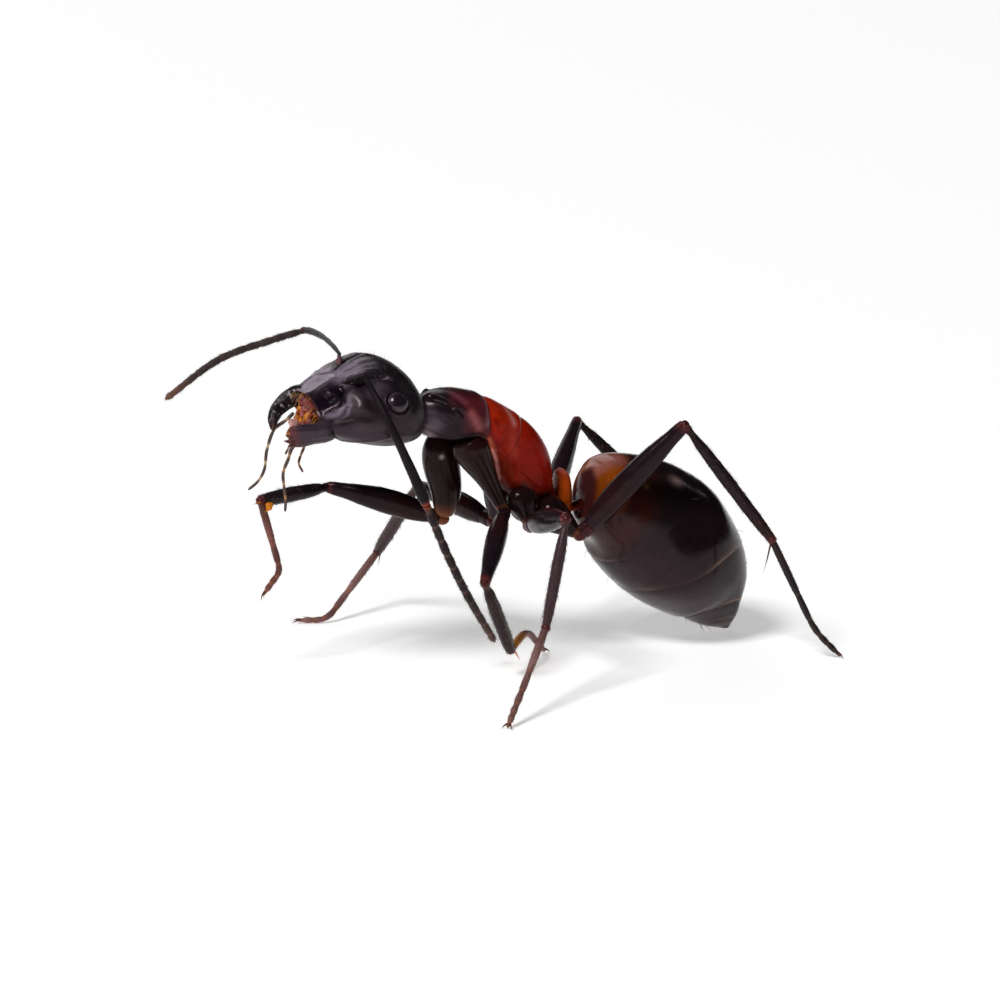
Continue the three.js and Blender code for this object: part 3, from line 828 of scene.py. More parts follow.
FACET = [(0.8, 0.38, 0.62), (1.02, 0.38, 0.46), (1.14, 0.45, 0.36)]  # smooth side of the clypeus
EYE_OUT = math.radians(EYE["tilt"])


def eye_axes(side):
    """Forward, outward and along the rim, for the eye on one side."""
    out = (0, side * math.cos(EYE_OUT), math.sin(EYE_OUT))
    rim = (0, -side * math.sin(EYE_OUT), math.cos(EYE_OUT))
    return (1, 0, 0), out, rim


def head_plate():
    """The head capsule with its mouth opening, as a grid in the head's frame."""
    turn = np.linspace(0, 2 * math.pi, 288, endpoint=False)
    across, height = powered(turn, HEAD_POWER)
    s = np.concatenate((np.linspace(0, 0.1, 34)[:-1], np.linspace(0.1, MOUTH_RIM, 190)))
    wide, high, deep = (column(HEAD_ROWS, s, k)[:, None] - SKIN for k in (1, 2, 3))
    forward = (HEAD_REAR + (HEAD_FRONT - HEAD_REAR) * s)[:, None] + 0 * turn
    grid = np.stack((forward, wide * across, height * np.where(height > 0, high, deep)), axis=-1)
    middle = grid * vec(1, 0, 0)

    folded = grid * vec(1, 0, 1) + np.abs(grid) * vec(0, 1, 0)
    f, left, up = folded[..., 0], folded[..., 1], folded[..., 2]
    push = relief(folded, [(high, wide, on_head(line)) for high, wide, line in HEAD_RELIEF])
    push *= 1 - 0.65 * ease(0.05, 0.3, -grid[..., 1]) * ease(0.2, 0.5, up)
    push += 0.075 * np.exp(-left / 0.13) * ease(0.55, 0.72, f) * ease(0.0, 0.25, up)
    _, out, rim = eye_axes(1)
    from_eye = folded - vec(*EYE["at"])
    flat = np.hypot(from_eye[..., 0], from_eye @ vec(*rim))
    near_eye = ease(-0.25, 0.0, from_eye @ vec(*out))
    push -= near_eye * 0.03 * hump(flat, EYE["radius"] + 0.004, 0.016)
    push += near_eye * 0.012 * hump(flat, EYE["radius"] + 0.05, 0.04)
    push += 0.022 * ease(1.2, 1.26, f) * ease(0.05, 0.2, up)
    calm = 1 - 0.85 * np.minimum(1, 1.3 * hump(distance_to(folded, on_head(FACET)), 0, 0.25))
    push += calm * (0.006 * ripple(grid, 0.55, 11) + 0.0022 * ripple(grid, 2.4, 12))
    push -= 0.03 * ease(0.05, 0.0, s)[:, None]
    grid = pushed(grid, middle, push)

    # Inside the rim the wall turns back into the mouth.
    rings = []
    centre = vec(grid[-1, :, 0].mean(), 0, 0.14)
    for share in np.linspace(0.06, 1, 16):
        shrink = 1 - 0.12 * min(1, share * 3) - 0.6 * max(0, share - 0.3)
        back = 0.02 * math.sin(min(1, share * 4) * math.pi) - 0.42 * max(0, share - 0.08)
        rings.append(centre + (grid[-1] - centre) * vec(1, shrink, shrink) + vec(back, 0, 0))
    mouth = np.stack(rings)

    def close_to(line, width):
        return hump(distance_to(folded, on_head(line)), 0, width)

    noise = ripple(grid, 0.5, 3)
    spots = []
    for colour, strength, width, line in HEAD_SPOTS:
        spots.append((colour, strength * (0.85 + 0.3 * noise) * close_to(line, width)))
    # Painted light: a pale painted reflection on the right side of the nose, and painted shade on the smooth
    # facet of the left side.
    right = ease(0.03, -0.03, grid[..., 1]) * ease(0.45, 0.6, f) * ease(0.0, 0.25, up)
    facet = np.minimum(1, 1.3 * close_to(FACET, 0.25)) * ease(-0.03, 0.03, grid[..., 1])
    facet *= ease(0.0, 0.05, grid[..., 1]) * ease(0.6, 0.68, f)
    # Painted shade: darker in the frontal fold, along the clypeus edge, under the condyle rim, in the
    # antennal socket and in the crack at the jaw's base.
    dark = close_to(FRONTAL_FOLD, 0.06) + close_to(CLYPEUS_EDGE, 0.04)
    dark += 0.5 * close_to(CONDYLE_SHADE, 0.07) + close_to(SOCKET, 0.11)
    dark += close_to(JAW_CRACK, 0.035) + 0.7 * close_to([(0.49, 0.3, 0.79), (0.34, 0.4, 0.85)], 0.08)
    tint = painted(
        grid,
        JET,
        (NIGHT, 0.55 + 0.5 * noise),
        (PLUM, 0.6 * ease(-0.3, 0.5, f) + 0.2 * noise),
        *spots,
        # painted reflection on the right side of the nose, then painted shade on the left facet
        (PALE_HIGHLIGHT, right * (0.85 + 0.25 * noise)),
        ((0.006, 0.003, 0.008), 0.95 * facet),
        ((0.003, 0.0015, 0.002), 0.92 * np.minimum(1, dark)),
        ((0.1, 0.03, 0.03), 0.6 * ease(1.22, 1.26, f) * ease(0.0, 0.2, up)),
        # painted reflection of the floor on the underside
        (FLOOR_REFLECTION_GREY, 0.35 * ease(-0.1, -0.4, up)),
    )
    gloss = 0.5 + 0.45 * facet - 0.4 * close_to(CONDYLE_SHADE, 0.12)
    inside = painted(mouth, RUST, (BLOOD, np.linspace(0, 1, len(mouth))))
    whole = np.concatenate((glossed(tint, gloss), glossed(inside, 0.6)))
    return np.concatenate((grid, mouth)), whole, grid, middle


full, head_tint, head_local, head_middle = head_plate()
piece("head_capsule", [closed(from_head(full), head_tint)], HEAD_SHELL, ["head"])
head_grid, head_middle = from_head(head_local), from_head(head_middle)


def eye_shade(outward):
    """Darker towards the middle of the lens, for directions from the middle of the eye."""
    return painted(outward, (0.06, 0.045, 0.056), ((0.012, 0.009, 0.013), ease(0.3, 0.9, outward[..., 1])))


for side, name in ((1, "left"), (-1, "right")):
    spot = from_head(EYE["at"] * vec(1, side, 1))
    radii = (EYE["radius"], EYE["bulge"], EYE["radius"])
    eye = ball(spot, radii, eye_shade, head_axes(*eye_axes(side)), rows=48, around=64)
    piece(f"eye_{name}_lens", [eye], EYE_LENS, [f"eye_{name}"])


def jointed(share, joints, waist, shape=0.4, lean=0.0):
    """How wide a jointed tube is at each share: 1 in the middle of each joint and waist between
    them. lean makes each one widest towards its far end. Also how far the nearest waist is."""
    joints = np.asarray(joints, float)
    i = np.clip(np.searchsorted(joints, share, side="right") - 1, 0, len(joints) - 2)
    x = np.clip((share - joints[i]) / (joints[i + 1] - joints[i]), 0, 1)
    body = np.maximum(0, np.sin(math.pi * x ** (1 + lean))) ** shape
    gap = np.min(np.abs(share[:, None] - joints[None, 1:-1]), axis=1)
    return waist + (1 - waist) * body, gap


def palp(knots, radius, joints, dark, pale):
    """A thin jointed tube, pale at its joints, that narrows towards its blunt tip."""
    path = from_head(spline(knots, 150))
    share = np.linspace(0, 1, 150)
    width, gap = jointed(share, joints, 0.62, 0.35, 0.25)
    size = radius * width * (1 - 0.3 * share)
    size[-4:] *= np.linspace(1, 0.4, 4)  # the blunt tip
    grid = tube(path, size, size, vec(0, 1, 0.2), 20)
    return closed(grid, painted(grid, dark, (pale, hump(gap * length_of(path), 0, 0.05))))


def jaw_blade(path, tall, wide, hint, power, ribs, *waves):
    """A jaw as grids, and the share of its length at each row. tall and wide are half sizes as
    shares and values, and ribs say how many there are, how they twist and where they fade."""
    t = np.linspace(0, 1, len(path))
    turn = np.linspace(0, 2 * math.pi, 96, endpoint=False)
    grid = tube(path, np.interp(t, *wide), np.interp(t, *tall), unit(head_axes(hint))[0], 96, power)
    middle = path[:, None] + 0 * grid
    count, twist, low, high = ribs
    push = 0.004 * np.sin(turn * count + twist * t[:, None]) * ease(low, high, t)[:, None]
    for height, scale, seed in waves:
        push += height * ripple(grid, scale, seed)
    return pushed(grid, middle, push), middle, t


def near_jaw():
    """The jaw on the left: a broad blade whose far edge carries the teeth."""
    path = from_head(bent((0.86, 0.62, -0.13), (1.55, 1.07, 0.0), (1.95, 0.82, -0.12), 90))
    tall = [0, 0.1, 0.3, 0.6, 0.85, 0.97, 1], [0.22, 0.24, 0.245, 0.225, 0.24, 0.23, 0.17]
    wide = [0, 0.12, 0.4, 0.7, 1], [0.08, 0.12, 0.17, 0.12, 0.05]
    ribs = (11, 3, 0.15, 0.4)
    grid, middle, t = jaw_blade(path, tall, wide, (0, 1, 0.1), 2.3, ribs, (0.008, 1.6, 31))
    tint = painted(
        grid,
        PLUM,
        (NIGHT, 0.3 + 0.5 * ripple(grid, 1, 32)),
        # painted sheen along the middle of the blade
        (LILAC_SHEEN, 0.3 * hump(t, 0.5, 0.2)),
        # painted shade in the crack where the jaw meets the head
        ((0.002, 0.001, 0.002), hump(distance_to(grid, from_head(JAW_CRACK)), 0, 0.05)),
        ((0.12, 0.02, 0.02), 0.8 * ease(0.8, 1.0, t)),
    )
    patches = [closed(grid, tint)]
    droop = head_axes((0.02, 0.03, 0))[0]
    for root, tip, size in (
        ((1.84, 0.86, 0.05), (1.93, 0.77, 0.11), 0.06),
        ((1.9, 0.84, -0.02), (2.0, 0.75, 0.0), 0.065),
        ((1.93, 0.83, -0.11), (2.05, 0.75, -0.1), 0.07),
        ((1.92, 0.84, -0.2), (2.08, 0.77, -0.22), 0.08),
        ((1.88, 0.86, -0.27), (1.98, 0.81, -0.34), 0.06),
    ):
        ends = from_head(root), from_head(tip)
        patches.append(cone(*ends, size, (0.06, 0.012, 0.008), droop, 14, 12, 0.25))
    return patches, grid, middle


FAR_TEETH = [95, 107]  # rows of the far jaw's middle line where its teeth stand


def far_jaw():
    """The jaw on the right, open, seen from inside as a ribbed sickle."""
    knots = [(1.08, -0.54, 0.2), (1.28, -0.66, 0.08), (1.57, -0.62, -0.1), (1.8, -0.42, -0.24)]
    path = from_head(spline(knots + [(1.94, -0.1, -0.4)], 120))
    tall = [0, 0.15, 0.45, 0.75, 0.93, 1], [0.19, 0.21, 0.17, 0.12, 0.07, 0.02]
    wide = [0, 0.2, 0.6, 1], [0.16, 0.16, 0.12, 0.03]
    waves = (0.009, 2.8, 33), (0.006, 1.2, 35)
    grid, _, t = jaw_blade(path, tall, wide, (0.5, 0.75, 0.1), 2.4, (9, 5, 0.95, 0.6), *waves)
    flecks = ease(0.5, 1.0, ripple(grid, 11, 34)) * ease(0.9, 0.6, t)[:, None]
    layers = ((0.4, 0.36, 0.36), 0.9 * flecks), ((0.05, 0.02, 0.015), ease(0.75, 1, t))
    patches = [closed(grid, painted(grid, JET, *layers))]
    inward = head_axes((0.02, 0.09, -0.1))[0]
    for root in path[FAR_TEETH]:
        patches.append(cone(root, root + inward, 0.05, (0.04, 0.015, 0.01), blunt=0.25))
    return patches


jaw, jaw_grid, jaw_middle = near_jaw()
piece("mandible_left_blade", jaw, JAW_SHELL, ["mandible_left"])
piece("mandible_right_blade", far_jaw(), JAW_SHELL, ["mandible_right"])


def flesh(at, radii, a, b, seed, tip=(0, 0), rough=0.1):
    """A soft mouth lump between two colours. tip turns it down and to the left, in degrees."""
    down, aside = math.radians(tip[0]), math.radians(tip[1])
    ahead = (math.cos(down) * math.cos(aside), math.cos(down) * math.sin(aside), -math.sin(down))
    across = (-math.sin(aside), math.cos(aside), 0)

    def shade(outward):
        return painted(outward, a, (b, 0.5 + 0.75 * ripple(outward, 0.35, seed)))

    axes = head_axes(ahead, across, np.cross(ahead, across))
    rows, around = (40, 48) if max(radii) > 0.15 else (18, 22)
    return ball(from_head(at), radii, shade, axes, rows, around, rough, seed)


lips = [
    flesh((1.24, 0.02, 0.22), (0.1, 0.44, 0.15), MAUVE, BLOOD, 41, (55, 0), 0.16),
    flesh((1.3, 0.3, -0.02), (0.2, 0.15, 0.17), BLOOD, ORANGE, 45, (40, 10), 0.16),
    flesh((1.2, -0.16, -0.04), (0.16, 0.15, 0.16), ORANGE, BLOOD, 46, (40, -10), 0.16),
    flesh((1.42, 0.3, -0.16), (0.24, 0.12, 0.1), RUST, PINK, 48, (12, 4), 0.14),
    flesh((1.68, 0.3, -0.06), (0.12, 0.1, 0.09), PINK, (0.7, 0.36, 0.3), 50, (0, 0), 0.08),
    flesh((1.38, 0.02, -0.34), (0.32, 0.2, 0.2), RUST, ORANGE, 51, (25, 0), 0.12),
    flesh((1.32, 0.24, -0.42), (0.22, 0.12, 0.14), ORANGE, RUST, 52, (50, 0), 0.12),
    flesh((1.32, -0.2, -0.42), (0.22, 0.12, 0.14), ORANGE, RUST, 53, (50, 0), 0.12),
    flesh((1.46, 0.4, -0.42), (0.14, 0.08, 0.09), ORANGE, STRAW, 54, (35, 0), 0.12),
]
draw = np.random.default_rng(40)
FOLDS = [MAUVE, (0.34, 0.1, 0.1), BLOOD, AMBER, AMBER, BLOOD, ORANGE, (0.62, 0.33, 0.04)]
for k in range(70):
    left, drop = draw.uniform(-0.3, 0.5), draw.uniform(0, 1)
    at = (1.27 + 0.1 * drop + 0.12 * left + draw.uniform(-0.03, 0.04), left, 0.26 - 0.44 * drop)
    size = draw.uniform(0.028, 0.06)
    first = FOLDS[k % 4] if drop < 0.45 else FOLDS[3 + k % 5]
    second = FOLDS[(3 * k + 1) % 8]
    tip = (draw.uniform(20, 80), draw.uniform(-40, 40))
    lips.append(flesh(at, (size * 1.7, size, size * 0.8), first, second, 400 + k, tip, 0.15))
LIP_JOINTS = [0, 0.28, 0.52, 0.76, 1]
near_knots = [(1.24, 0.26, -0.44), (1.37, 0.3, -0.62), (1.48, 0.37, -0.8), (1.55, 0.46, -0.93)]
near_knots += [(1.48, 0.55, -1.1)]
for knots in (near_knots, [(1.2, -0.16, -0.4), (1.4, -0.24, -0.74), (1.46, -0.4, -1.12)]):
    lips.append(palp(knots, 0.034, LIP_JOINTS, (0.1, 0.04, 0.03), (0.35, 0.17, 0.06)))
piece("mouth_soft_parts", lips, MOUTH_SHELL, ["mouthparts"])

PALP_JOINTS = [0, 0.1, 0.27, 0.46, 0.64, 0.82, 1]
near_palp = [(1.5, 0.42, -0.42), (1.74, 0.46, -0.56), (1.83, 0.52, -0.76), (1.96, 0.6, -1.04)]
near_palp += [(1.96, 0.7, -1.32), (1.97, 0.85, -1.55), (2.03, 1.0, -1.74)]
far_palp = [(1.4, -0.3, -0.12), (1.56, -0.3, -0.27), (1.79, -0.34, -0.47), (1.97, -0.25, -0.9)]
far_palp += [(2.04, -0.15, -1.3), (2.18, -0.1, -1.52), (2.42, -0.05, -1.68)]
palps = (near_palp, "left", (0.4, 0.2, 0.08)), (far_palp, "right", (0.5, 0.36, 0.2))
for knots, name, pale in palps:
    shown = palp(knots, 0.042, PALP_JOINTS, (0.08, 0.055, 0.05), pale)
    piece(f"palp_{name}_tube", [shown], FOOT_SHELL, [f"palp_{name}"])

# ---- Feelers ----

FEELER_LOOKS = {
    "left": {
        "hint": vec(1, 0.1, 0.1),
        "scape": (0.012, 0.009, 0.011),
        "root": (0.004, 0.002, 0.003),
        "lash": (0.025, 0.017, 0.02),
        "joints": 0.6,
        "warm": (0.35, 0.6),  # how much and from which share on
    },
    "right": {
        "hint": vec(0.05, 0, 1),
        "scape": (0.07, 0.06, 0.065),
        "root": (0.2, 0.09, 0.1),
        "lash": (0.07, 0.055, 0.055),
        "joints": 0.3,
        "warm": (1, 0.75),
    },
}
# Half sizes along the scape, before its stoutness, and along the lash, as shares of its radius.
SCAPE_SIZE = [
    [0, 0.02, 0.05, 0.08, 0.12, 0.5, 0.93, 0.985, 1],
    [0.06, 0.085, 0.08, 0.055, 0.06, 0.085, 0.118, 0.1, 0.06],
]
LASH_SIZE = [0, 0.03, 0.1, 0.6, 0.97, 1], [0.8, 0.8, 1.0, 1.0, 0.85, 0.3]
LASH_STALK = [0, 0.012, 0.033], [1.0, 0.95, 0.6]
STALK_ROWS = 14  # rows of the lash that make its narrow first stalk
feeler_coat = Coat()
for number, (name, feeler) in enumerate(FEELERS.items()):
    root, bend, elbow = (vec(*p) for p in feeler["scape"])
    look = FEELER_LOOKS[name]
    socket = from_head(on_head(SOCKET)[0] * vec(1, 1 if name == "left" else -1, 0.93))
    path = np.vstack((bent(socket, (socket + root) / 2, root, 20)[:-1], bent(root, bend, elbow, 160)))
    path = even(path, 180)
    t = np.linspace(0, 1, 180)
    size = np.interp(t, *SCAPE_SIZE) * feeler["stout"]
    grid, middle = rod(path, size, size * 1.06, look["hint"], 48, 2.0, (0.004, 2.0, 61))
    tint = painted(
        grid,
        look["scape"],
        (JET, 0.4 + 0.4 * ripple(grid, 0.8, 62)),
        (look["root"], ease(0.1, 0.04, t)),
        ((0.25, 0.05, 0.03), ease(0.955, 0.99, t)),
    )
    piece(f"scape_{name}_rod", [closed(grid, tint)], FEELER_SHELL, [f"scape_{name}"])
    hairs = {"lean": 0.85, "tint": (0.05, 0.04, 0.04), "strip": (0.02, 0.02 + 0.24 * number, 0.96, 0.1)}
    feeler_coat.scatter(grid, middle, 320, 0.06, 0.003, 63, **hairs)

    path = spline([elbow] + feeler["lash"], 400)
    t = np.linspace(0, 1, 400)
    joints = np.concatenate(([0, 0.035], np.linspace(0.125, 0.93, 10), [1.0]))
    width, gap = jointed(t, joints, 0.78, 0.3, 0.15)
    size = feeler["radius"] * width * np.interp(t, *LASH_SIZE)
    size[:STALK_ROWS] = feeler["radius"] * np.interp(t[:STALK_ROWS], *LASH_STALK)
    grid, middle = rod(path, size, size, look["hint"], 40, 2.0)
    warm, warm_from = look["warm"]
    tint = painted(
        grid,
        look["lash"],
        ((0.25, 0.13, 0.09), warm * ease(warm_from, 1, t)),
        ((0.2, 0.1, 0.08), look["joints"] * hump(gap * length_of(path), 0, 0.035)),
        ((0.25, 0.05, 0.02), ease(0.03, 0.0, t)),
    )
    lash = closed(grid, tint)
    piece(f"funiculus_{name}_lash", [lash], FEELER_SHELL, [f"funiculus_{name}"])
    hairs = {"lean": 0.6, "tint": (0.12, 0.08, 0.07), "strip": (0.02, 0.14 + 0.24 * number, 0.96, 0.1)}
    feeler_coat.scatter(grid, middle, 1500, 0.06, 0.0035, 64, **hairs)
feeler_coat.piece("feeler_hairs", "feeler")

# ---- Trunk ----

trunk = Loft(TRUNK_SPINE, TRUNK_ROWS)


def mirrored(knots):
    """The lines on the trunk along (s, turn) knots and along their mirror image."""
    return [trunk.line_at(np.array(knots, float) * vec(1, flip)) for flip in (1, -1)]


def front_margin(turn):
    """Where the pronotum ends, as a share of the spine: it reaches further back on the sides."""
    return 0.308 + 0.055 * ease(60, 122, np.abs(turn))


def middle_margin(turn):
    """The groove between the middle and the rear of the trunk."""
    return 0.502 + 0.08 * ease(30, 150, np.abs(turn))


# Ridges and grooves of the left side of the trunk: height, width and (s, turn) knots.
TRUNK_FEATURES = [
    (-0.07, 0.04, [(0.0, 118), (0.08, 136), (0.17, 144), (0.254, 122), (0.34, 118)]),
    (0.04, 0.04, [(0.06, 124), (0.16, 132), (0.24, 112), (0.3, 108)]),
    (0.05, 0.045, [(0.04, 8), (0.08, 24), (0.107, 42), (0.15, 62), (0.19, 76)]),
    (-0.05, 0.05, [(0.04, 30), (0.085, 42), (0.115, 54), (0.145, 72)]),
    (0.03, 0.03, [(0.1, 48), (0.124, 60), (0.152, 80), (0.18, 96)]),
    (-0.03, 0.06, [(0.02, 75), (0.08, 90), (0.14, 108)]),
    (-0.02, 0.03, [(0.33, 84), (0.4, 92), (0.46, 90)]),
    (0.04, 0.2, [(0.4, 104), (0.46, 112)]),
    (-0.05, 0.03, [(0.38, 126), (0.5, 134), (0.62, 140), (0.7, 150)]),
    (0.05, 0.035, [(0.37, 132), (0.48, 140), (0.58, 146), (0.696, 158)]),
    (0.05, 0.07, [(0.7, 124), (0.76, 120), (0.84, 116)]),
    (-0.03, 0.03, [(0.7, 108), (0.78, 102), (0.86, 98)]),
    (-0.05, 0.02, [(0.566, 89)]),
    (0.018, 0.045, [(0.566, 89)]),
    (-0.04, 0.02, [(0.73, 74)]),
    (0.015, 0.04, [(0.73, 74)]),
    (-0.015, 0.05, [(0.56, 112), (0.62, 124), (0.66, 136)]),
]
TRUNK_RELIEF = [
    (height, width, line)
    for height, width, knots in TRUNK_FEATURES
    for line in mirrored(knots)
]

# Spots of colour on the trunk: the colour, how strong, how wide in millimetres, and where. Some are painted
# light: pale painted reflections low on the pronotum, a painted highlight along its rear margin, a pink
# painted highlight on its lower rear and one across the mesonotum.
TRUNK_SPOTS = [
    # Painted reflections: pale lilac and pink-grey patches low on the front of the pronotum.
    ((0.13, 0.1, 0.13), 0.8, 0.16, [(0.012, 78), (0.035, 96), (0.055, 104)]),
    ((0.24, 0.17, 0.18), 0.6, 0.12, [(0.03, 125), (0.045, 150), (0.05, 170)]),
    ((0.11, 0.014, 0.02), 0.7, 0.16, [(0.16, 44), (0.21, 50), (0.25, 46)]),
    ((0.2, 0.05, 0.075), 0.6, 0.07, [(0.155, 22), (0.17, 36), (0.19, 52)]),
    # Painted highlight along the pronotum's rear margin.
    ((0.26, 0.13, 0.15), 0.6, 0.055, [(0.29, 12), (0.298, 45), (0.303, 70), (0.315, 91)]),
    # A paler pink patch on the lower rear of the pronotum, painted as a highlight.
    ((0.32, 0.085, 0.09), 0.75, 0.1, [(0.217, 78), (0.245, 91), (0.275, 101)]),
    ((0.16, 0.003, 0.002), 0.8, 0.05, [(0.352, 78), (0.375, 84)]),
    # Painted pink highlight across the mesonotum.
    ((0.55, 0.19, 0.17), 0.85, 0.09, [(0.41, 26), (0.43, 42), (0.46, 58)]),
    ((0.4, 0.05, 0.035), 0.5, 0.12, [(0.5, 84), (0.54, 96), (0.58, 104)]),
    (WINE, 0.6, 0.12, [(0.36, 106), (0.4, 112), (0.46, 122)]),
    ((0.95, 0.24, 0.13), 1.0, 0.055, [(0.38, 122), (0.42, 128), (0.47, 134)]),
    ((0.95, 0.4, 0.33), 1.0, 0.05, [(0.47, 134), (0.54, 141), (0.61, 147), (0.68, 154)]),
    (BROWN, 0.9, 0.2, [(0.62, 128), (0.67, 132), (0.72, 136)]),
    (OLIVE, 0.8, 0.08, [(0.76, 117), (0.78, 116)]),
    (BROWN, 0.7, 0.045, [(0.566, 89)]),
    (BROWN, 0.9, 0.03, [(0.73, 74)]),
    (NIGHT, 0.85, 0.2, [(0.74, 170), (0.82, 140), (0.88, 124), (0.94, 104)]),
]


def trunk_plate(start, end, along):
    """One plate of the trunk, with its grid and the grid of its middle line."""
    grid, middle, s, turn = trunk.patch(start, end, along, 220)
    push = relief(grid, TRUNK_RELIEF)
    for margin, depth in ((front_margin, 0.045), (middle_margin, 0.012)):
        past = s - margin(turn)
        push -= depth * ease(-0.008, 0.004, past) * ease(0.05, 0.004, past)
        push += 0.4 * depth * hump(past, -0.024, 0.016)
    push += 0.008 * ripple(grid, 0.45, 71) + 0.002 * ripple(grid, 2.2, 72)
    push -= 0.04 * ease(0.02, 0, s)
    grid = pushed(grid, middle, push)

    noise = ripple(grid, 0.5, 73)
    side = np.abs(turn)
    warm = ease(0.13, 0.2, s - 0.0006 * (side - 60) + 0.02 * noise)
    back = ease(-0.004, 0.006, s - front_margin(turn))
    spots = []
    for colour, strength, width, knots in TRUNK_SPOTS:
        for line in mirrored(knots):
            spots.append((colour, strength * hump(distance_to(grid, line), 0, width)))
    tint = painted(
        grid,
        JET,
        (NIGHT, 0.6 + 0.4 * noise),
        ((0.06, 0.009, 0.012), warm * ease(135, 105, side)),
        (RED, back),
        (SCARLET, 0.45 * back * ease(0.5, 0.4, s) * ease(100, 60, side)),
        ((0.27, 0.006, 0.002), 0.7 * back * ease(0.5, 0.6, s) * ease(110, 70, side)),
        (WINE, 0.3 * back * np.maximum(0, noise)),
        (BROWN, 0.7 * ease(0.86, 0.97, s + 0.02 * noise)),
        (MAROON, 0.8 * back * ease(130, 170, side)),
        *spots,
        (MAROON, 0.9 * hump(s - front_margin(turn), 0.003, 0.005)),
        (WINE, 0.35 * hump(s - middle_margin(turn), 0, 0.006)),
    )
    gloss = 0.5 + 0.2 * ease(0.3, 0.4, s) - 0.2 * hump(s, 0.31, 0.03)
    return closed(grid, glossed(tint, gloss)), grid, middle


# The neck runs from a socket inside the head to the middle of the collar.
socket, collar = from_head((HEAD_REAR + 0.2, 0, 0)), trunk.line[0]
reach = collar - socket
path = spline([socket, socket + 0.55 * reach, collar + 0.15 * unit(reach)], 30)
size = np.interp(np.linspace(0, 1, 30), [0, 0.5, 0.75, 1], [0.26, 0.2, 0.22, 0.3])
grid = tube(path, size, size, vec(0, 1, 0), 48)
neck = closed(grid, painted(grid, MAROON, (NIGHT, 0.5 + 0.4 * ripple(grid, 1.2, 77))))

# Each plate's name, start, end, rows, material, slot, hairs and their colour.
TRUNK_PLATES = [
    ("pronotum", 0, front_margin, 130, TRUNK_SHELL, "maroon_shell", 350, (0.1, 0.05, 0.05)),
    ("mesothorax", front_margin, middle_margin, 80, RED_SHELL, "red_shell", 300, (0.3, 0.08, 0.03)),
    ("propodeum", middle_margin, 1, 150, RED_SHELL, "red_shell", 420, (0.3, 0.08, 0.03)),
]
trunk_coat = Coat()
for number, (name, start, end, along, shell, slot, count, tone) in enumerate(TRUNK_PLATES):
    plate, grid, middle = trunk_plate(start, end, along)
    patches = [plate, neck] if name == "pronotum" else [plate]
    piece(f"{name}_plate", patches, shell, [name])
    hairs = {"lean": 0.85, "tint": tone, "strip": (0.02, 0.02 + 0.32 * number, 0.96, 0.3)}
    trunk_coat.scatter(grid, middle, count, 0.07, 0.0022, 75 + number, **hairs)
trunk_coat.piece("trunk_hairs", "maroon_shell")

# The waist: an upright scale on a short stalk.
scale = Loft(SCALE_SPINE, SCALE_ROWS, 2.1, top=(-1, 0, 0))
grid, middle, s, turn = scale.patch(0, 1, 110, 120)
grid = pushed(grid, middle, 0.01 * ripple(grid, 0.8, 81) - 0.02 * hump(s, 0.35, 0.05))
tint = painted(
    grid,
    RED,
    (AMBER, 0.6 + 0.4 * ripple(grid, 0.7, 82)),
    (BROWN, 0.6 * ease(0.75, 1.0, s)),
    # painted pink highlight at the top of the scale
    (PINK, 0.3 * hump(s, 0.98, 0.04)),
)
waist = [closed(grid, tint)]
for knots, radii in (
    ([(0.86, 0, 3.36), (1.1, 0, 3.2), (1.26, 0, 3.14)], (0.17, 0.16, 0.18)),
    ([(1.26, 0, 3.14), (1.48, 0, 3.13), (1.74, 0, 3.16)], (0.15, 0.1, 0.15)),
):
    size = np.interp(np.linspace(0, 1, 40), [0, 0.5, 1], radii)
    grid = tube(spline(knots, 40), size, size * 0.95, vec(0, 1, 0), 40)
    waist.append(closed(grid, painted(grid, BROWN, (NIGHT, 0.7 + 0.3 * ripple(grid, 0.9, 83)))))
piece("petiole_scale", waist, RED_SHELL, ["petiole"])

# ---- Gaster ----

gaster = Loft(GASTER_SPINE, GASTER_ROWS)
gaster_length = np.linalg.norm(gaster.line[-1] - gaster.line[0])
LAP = 0.022  # how far each ring tucks under the one before it
# For each ring: the rows of its grid, how deep it starts under the ring before it, its short and
# its long hairs, and where its thin rear edge turns pale: the turn, its spread and how strong.
GASTER_RINGS = [
    (150, 0, 420, 3, [(165, 14, 0.5)]),
    (150, 0.005, 620, 6, [(68, 24, 0.9), (149, 12, 0.3)]),
    (120, 0.016, 420, 6, [(88, 16, 0.6)]),
    (80, 0.008, 240, 8, [(90, 30, 0.3)]),
    (60, 0.0034, 120, 12, []),
]
REARWARD = vec(0.75, 0, -0.6)  # the way the gaster's hairs lie


def gaster_margin(number, lap=0):
    """Where a ring ends, as a share of the spine for each turn."""
    share, slant = GASTER_MARGINS[number]
    return lambda turn: share + slant * np.cos(np.radians(turn)) - lap


